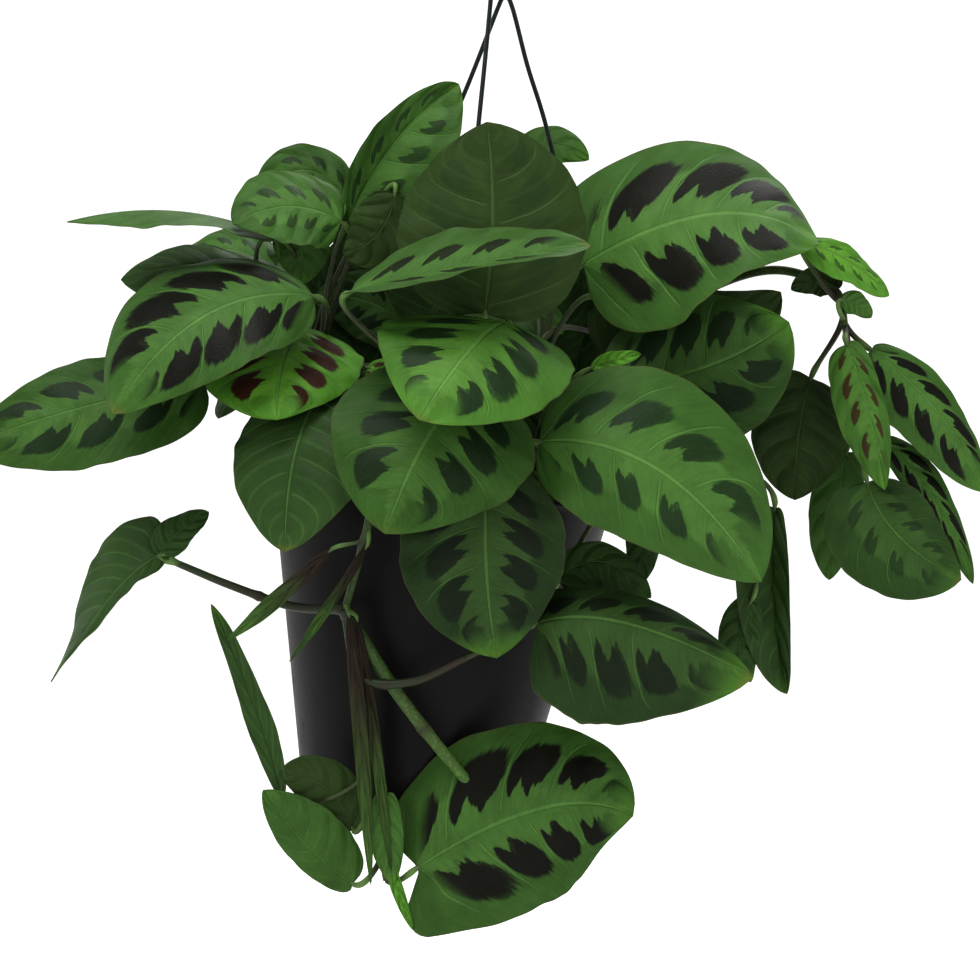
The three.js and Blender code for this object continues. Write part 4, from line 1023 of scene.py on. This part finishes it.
shoot("side_right", (58, 24), [(46, -290, 26), (54, -262, 26)], [
    leaf("grown", (62, -262, 0), (104, -258, -6), (122, -312, -14), 28, (0.75, -0.1, 0.65),
         curl=-12),
    leaf("deep", (62, -280, 22), (86, -286, 24), (84, -336, 22), 26, (0.9, 0.2, 0.3), curl=-12),
])
shoot("low_right", (52, -26), [(46, -302, -36), (62, -288, -42)], [
    leaf("dim", (140, -319, -45), (136, -365, -55), (146, -412, -50), (9, 24), (0, -0.9, 0),
         fold=40),
    leaf("dim", (72, -315, -50), (76, -337, -50), (70, -359, -50), (9, 8), (0, -1, 0)),
    leaf("dim", (128, -366, -62), (116, -385, -64), (128, -406, -60), 10, (0, -0.9, 0.2)),
    leaf("dim", (32, -356, -66), (52, -332, -68), (78, -364, -66), (10, 16), (0, -0.9, 0.3)),
])


# The shoots in front hang their blades over the pot's rim, each lapping the one below. The
# newest of them are the brightest, and their blotches have not turned black yet.
shoot("front_left", (-38, -36), [(-66, -285, -40), (-76, -258, -42)], [
    leaf("dim", (-87, -262, -60), (-105, -285, -88), (-105, -341, -88), (38, 32), (-0.3, -0.9, 0.4),
         tip_face=(-0.3, -0.9, 0.1), lobe=5),
    leaf("deep", (-47, -256, -46), (-77, -257, -52), (-108, -282, -58), (22, 20), (0, -0.7, 0.7)),
    leaf("young", (-64, -249, -50), (-55, -251, -54), (-44, -261, -56), 8, (0, -0.9, 0.4), lobe=1),
])
shoot("front_middle", (8, -40), [(8, -280, -48), (10, -250, -54)], [
    leaf("fresh", (6, -226, -84), (-8, -228, -130), (-38, -275, -138), (47, 50), (0, -0.7, 0.7),
         tip_face=(-0.1, -0.9, 0.4), fold=-5, curl=-12, lobe=(12, 26)),
])
shoot("front_low", (-16, -58), [(-22, -300, -66), (-18, -280, -68)], [
    leaf("open", (-8, -257, -88), (-35, -272, -116), (-55, -332, -118), (50, 52), (-0.1, -0.8, 0.6),
         tip_face=(-0.1, -0.95, 0.2), fold=-5, curl=-10, lobe=8),
    leaf("deep", (-3, -300, -105), (-8, -345, -120), (1, -394, -106), (38, 41), (0, -0.95, 0.3),
         tip_face=(0, -1, 0.1), fold=-5, curl=-10, lobe=6),
    leaf("turned", (-72, -211, -80), (-12, -194, -106), (48, -188, -98), (28, 36), (0, -0.45, 0.9),
         fold=15, curl=0),
])
shoot("front_right", (30, -46), [(18, -295, -58), (26, -270, -62)], [
    leaf("broad", (22, -286, -90), (85, -278, -115), (133, -356, -95), (50, 38), (0, -0.9, 0.4),
         tip_face=(0.2, -0.95, 0.2), fold=-5, curl=(-10, -5), lobe=8),
    leaf("old", (52, -257, -40), (107, -257, -55), (147, -226, -55), 40, (0, -0.9, 0.3),
         tip_face=(0.2, -0.9, 0.2)),
    leaf("rolled", (48, -249, -66), (60, -245, -67), (73, -242, -66), 5, (0, -1, 0.2), curl=60,
         lobe=0),
])


# The two longest shoots trail: one arches out on the right and drops, and one falls down the
# front of the pot, branching at its joints, where brown sheaths still clasp the stem.
shoot("trailing_right", (46, 8), [
    (42, -270, 8), (92, -218, 0), (140, -200, -20), (171, -212, -32), (175, -228, -36),
], [
    leaf("spring", (155, -186, -40), (180, -193, -45), (197, -213, -35), (8, 13), (0, -0.8, 0.6),
         at=0.86, tip_face=(0.3, -0.8, 0.5)),
    leaf("dim", (171, -210, -28), (163, -200, -30), (148, -210, -30), 8, (0, 1, 0.3), at=0.93,
         lobe=1),
    leaf("plain", (173, -215, -45), (182, -215, -45), (188, -224, -45), 6, (0, -0.9, 0.3), at=0.96,
         lobe=1),
    leaf("ruddy", (176, -237, -50), (187, -262, -65), (195, -310, -60), (9, 17), (-0.4, -0.8, 0.1),
         at=1),
    leaf("grown", (188, -240, -35), (222, -262, -45), (246, -311, -30), (13, 23), (0.3, -0.9, 0.2),
         at=0.98, tip_face=(0.4, -0.9, 0)),
    leaf("faded", (186, -306, -45), (194, -335, -55), (233, -355, -50), (22, 31), (0, -1, 0.2),
         at=1),
    leaf("grown", (194, -286, -30), (220, -302, -30), (239, -357, -35), 9, (0.3, -0.9, 0), at=0.98),
    leaf("plain", (176, -291, -15), (170, -322, -15), (167, -355, -10), (12, 14), (0, -1, 0),
         at=0.99),
    leaf("old", (158, -254, -20), (150, -280, -35), (150, -315, -30), (24, 26), (0, 1, 0.3),
         at=0.94, tip_face=(0, 1, 0), curl=5),
])
shoot("hanging_front", (-24, -66), [
    (-45, -298, -74), (-58, -303, -94), (-64, -330, -95), (-75, -370, -78),
], [
    leaf("dim", (-168, -343, -60), (-188, -351, -75), (-222, -406, -70), (8, 33), (-0.2, -0.9, 0.2),
         on=0, at=1, tip_face=(-0.8, -0.3, 0.3), fold=(10, -10), lobe=(4, 30), widest=0.3),
    leaf("dim", (-168, -343, -60), (-160, -330, -55), (-143, -321, -50), (10, 8), (0, -0.8, 0.5),
         on=0, at=1),
    leaf("sheath", (-82, -340, -92), (-105, -362, -90), (-135, -386, -74), 4, (0, -1, 0.3), at=0.8,
         lobe=0),
    leaf("sheath", (-64, -338, -96), (-80, -365, -92), (-103, -396, -76), 2.5, (0, -1, 0.3),
         at=0.75, lobe=0),
    leaf("dim", (-107, -462, -60), (-119, -415, -65), (-142, -367, -60), (6, 8), (-0.3, -0.9, 0),
         on=1, at=0.6, fold=20),
    leaf("dim", (-71, -480, -64), (-82, -450, -64), (-108, -452, -64), 14, (0, 1, 0.1), on=1,
         at=0.7),
    leaf("plain", (-71, -507, -72), (-97, -490, -76), (-116, -460, -68), (10, 20), (0, -0.9, 0.3),
         on=1, at=0.9),
    leaf("plain", (-55, -462, -74), (-55, -485, -76), (-51, -507, -74), 8, (0, -1, 0), on=1,
         at=0.5),
    leaf("grown", (-39, -499, -72), (32, -452, -90), (69, -473, -80), (45, 44), (0, -0.95, 0.3),
         on=1, at=1, tip_face=(0, -0.95, 0.2), fold=-5, curl=-5, lobe=(16, 44), widest=0.33),
    leaf("grown", (-4, -462, -62), (18, -490, -58), (38, -500, -52), 22, (0, 0.9, 0.4), on=2, at=1),
    leaf("deep", (20, -377, -92), (57, -362, -112), (129, -404, -88), (24, 50), (0, -0.9, 0.3),
         on=3, at=1, tip_face=(0, -0.95, 0.2), fold=(-40, -5), curl=(0, -5), lobe=(60, 22)),
    leaf("sheath", (-73, -372, -86), (-66, -440, -82), (-62, -508, -77), 3.6, (0, -1, 0.2), at=0.98,
         lobe=0),
    leaf("sheath", (-69, -374, -84), (-59, -440, -80), (-52, -500, -75), 3, (0, -1, 0.2), at=0.99,
         lobe=0),
    leaf("rolled", (-55, -490, -72), (-49, -511, -74), (-41, -530, -73), 3.2, (0, -1, 0.2), on=1,
         at=0.9, curl=40, lobe=0),
], branches=[
    ((2.4, 1.7), 0, [(-102, -368, -60), (-134, -357, -58), (-158, -347, -60)]),
    ((2.7, 2.0), 0.15, [(-65, -408, -76), (-62, -460, -68), (-54, -505, -64)]),
    ((3.3, 2.7), 1, [(-50, -410, -78), (-22, -446, -72), (-8, -462, -66)]),
    ((2.5, 1.9), 0, [(-66, -404, -80), (-42, -406, -84), (-15, -394, -90)]),
])


# The growth round the back, which the picture doesn't show. One rule places it: a shoot for
# each third of the back, with one leaf in each of five tiers, and a small draw for each leaf.
POT_AXIS = np.array([-26.5, 0, 0])
BACK_SHOOTS = 3
BACK_STEM = {"step": 34, "root": 50, "out": 56, "up": (-285, -250)}
BACK_TIERS = [
    {"look": "new", "half": 16, "step": 34, "turn": -8, "face": (0.1, 1),
     "base": (36, -208), "bend": (56, -160), "tip": (82, -152)},
    {"look": "fresh", "half": 29, "step": 38, "turn": 0, "face": (0.35, 0.94),
     "base": (54, -228), "bend": (92, -180), "tip": (124, -200)},
    {"look": "grown", "half": 33, "step": 36, "turn": 16, "face": (0.6, 0.8),
     "base": (76, -248), "bend": (122, -224), "tip": (152, -274)},
    {"look": "grown", "half": 34, "step": 40, "turn": -6, "face": (0.85, 0.5),
     "base": (94, -274), "bend": (136, -270), "tip": (150, -334)},
    {"look": "old", "half": 32, "step": 24, "turn": 4, "face": (0.97, 0.2),
     "base": (100, -294), "bend": (122, -318), "tip": (112, -398)},
]
BACK_VARIES = {"turn": 3, "lift": 8, "size": 0.15}
BACK_SHINGLE = 18
BACK_SEED = 20


def draws(state):
    """The same even draws from 0 up to 1 that the solid model's back leaves were set by."""
    while True:
        state = state * 16807 % 2147483647
        yield state / 2147483647


def around(turn, out, up):
    """So far out from an upright axis, so many degrees on from the back, and so far up."""
    angle = math.radians(90 + turn)
    return np.array([out * math.cos(angle), out * math.sin(angle), up])


back_draw = draws(BACK_SEED)
for i in range(BACK_SHOOTS):
    steps_on = i - (BACK_SHOOTS - 1) / 2
    back_leaves = []
    for tier in BACK_TIERS:
        turn = steps_on * tier["step"] + tier["turn"]
        turn += BACK_VARIES["turn"] * (next(back_draw) - 0.5)
        lift = np.array([0, 0, BACK_VARIES["lift"] * (next(back_draw) - 0.5)])
        half = tier["half"] * (1 + BACK_VARIES["size"] * (next(back_draw) - 0.5))
        tip_turn = turn + BACK_VARIES["turn"] * (next(back_draw) - 0.5)
        midrib_turns = {"base": turn, "bend": turn, "tip": tip_turn}
        ends = [POT_AXIS + around(to, *tier[end]) + lift for end, to in midrib_turns.items()]
        face = around(turn + BACK_SHINGLE, *tier["face"])
        back_leaves.append(leaf(tier["look"], *ends, half, face, fold=-5, curl=-12, lobe=5,
                                place=np.array))
    turn = steps_on * BACK_STEM["step"]
    stem_places = [POT_AXIS + around(turn, BACK_STEM["out"], up) for up in BACK_STEM["up"]]
    grow(f"back_{i + 1}", around(turn, BACK_STEM["root"], 0)[:2], stem_places, back_leaves)
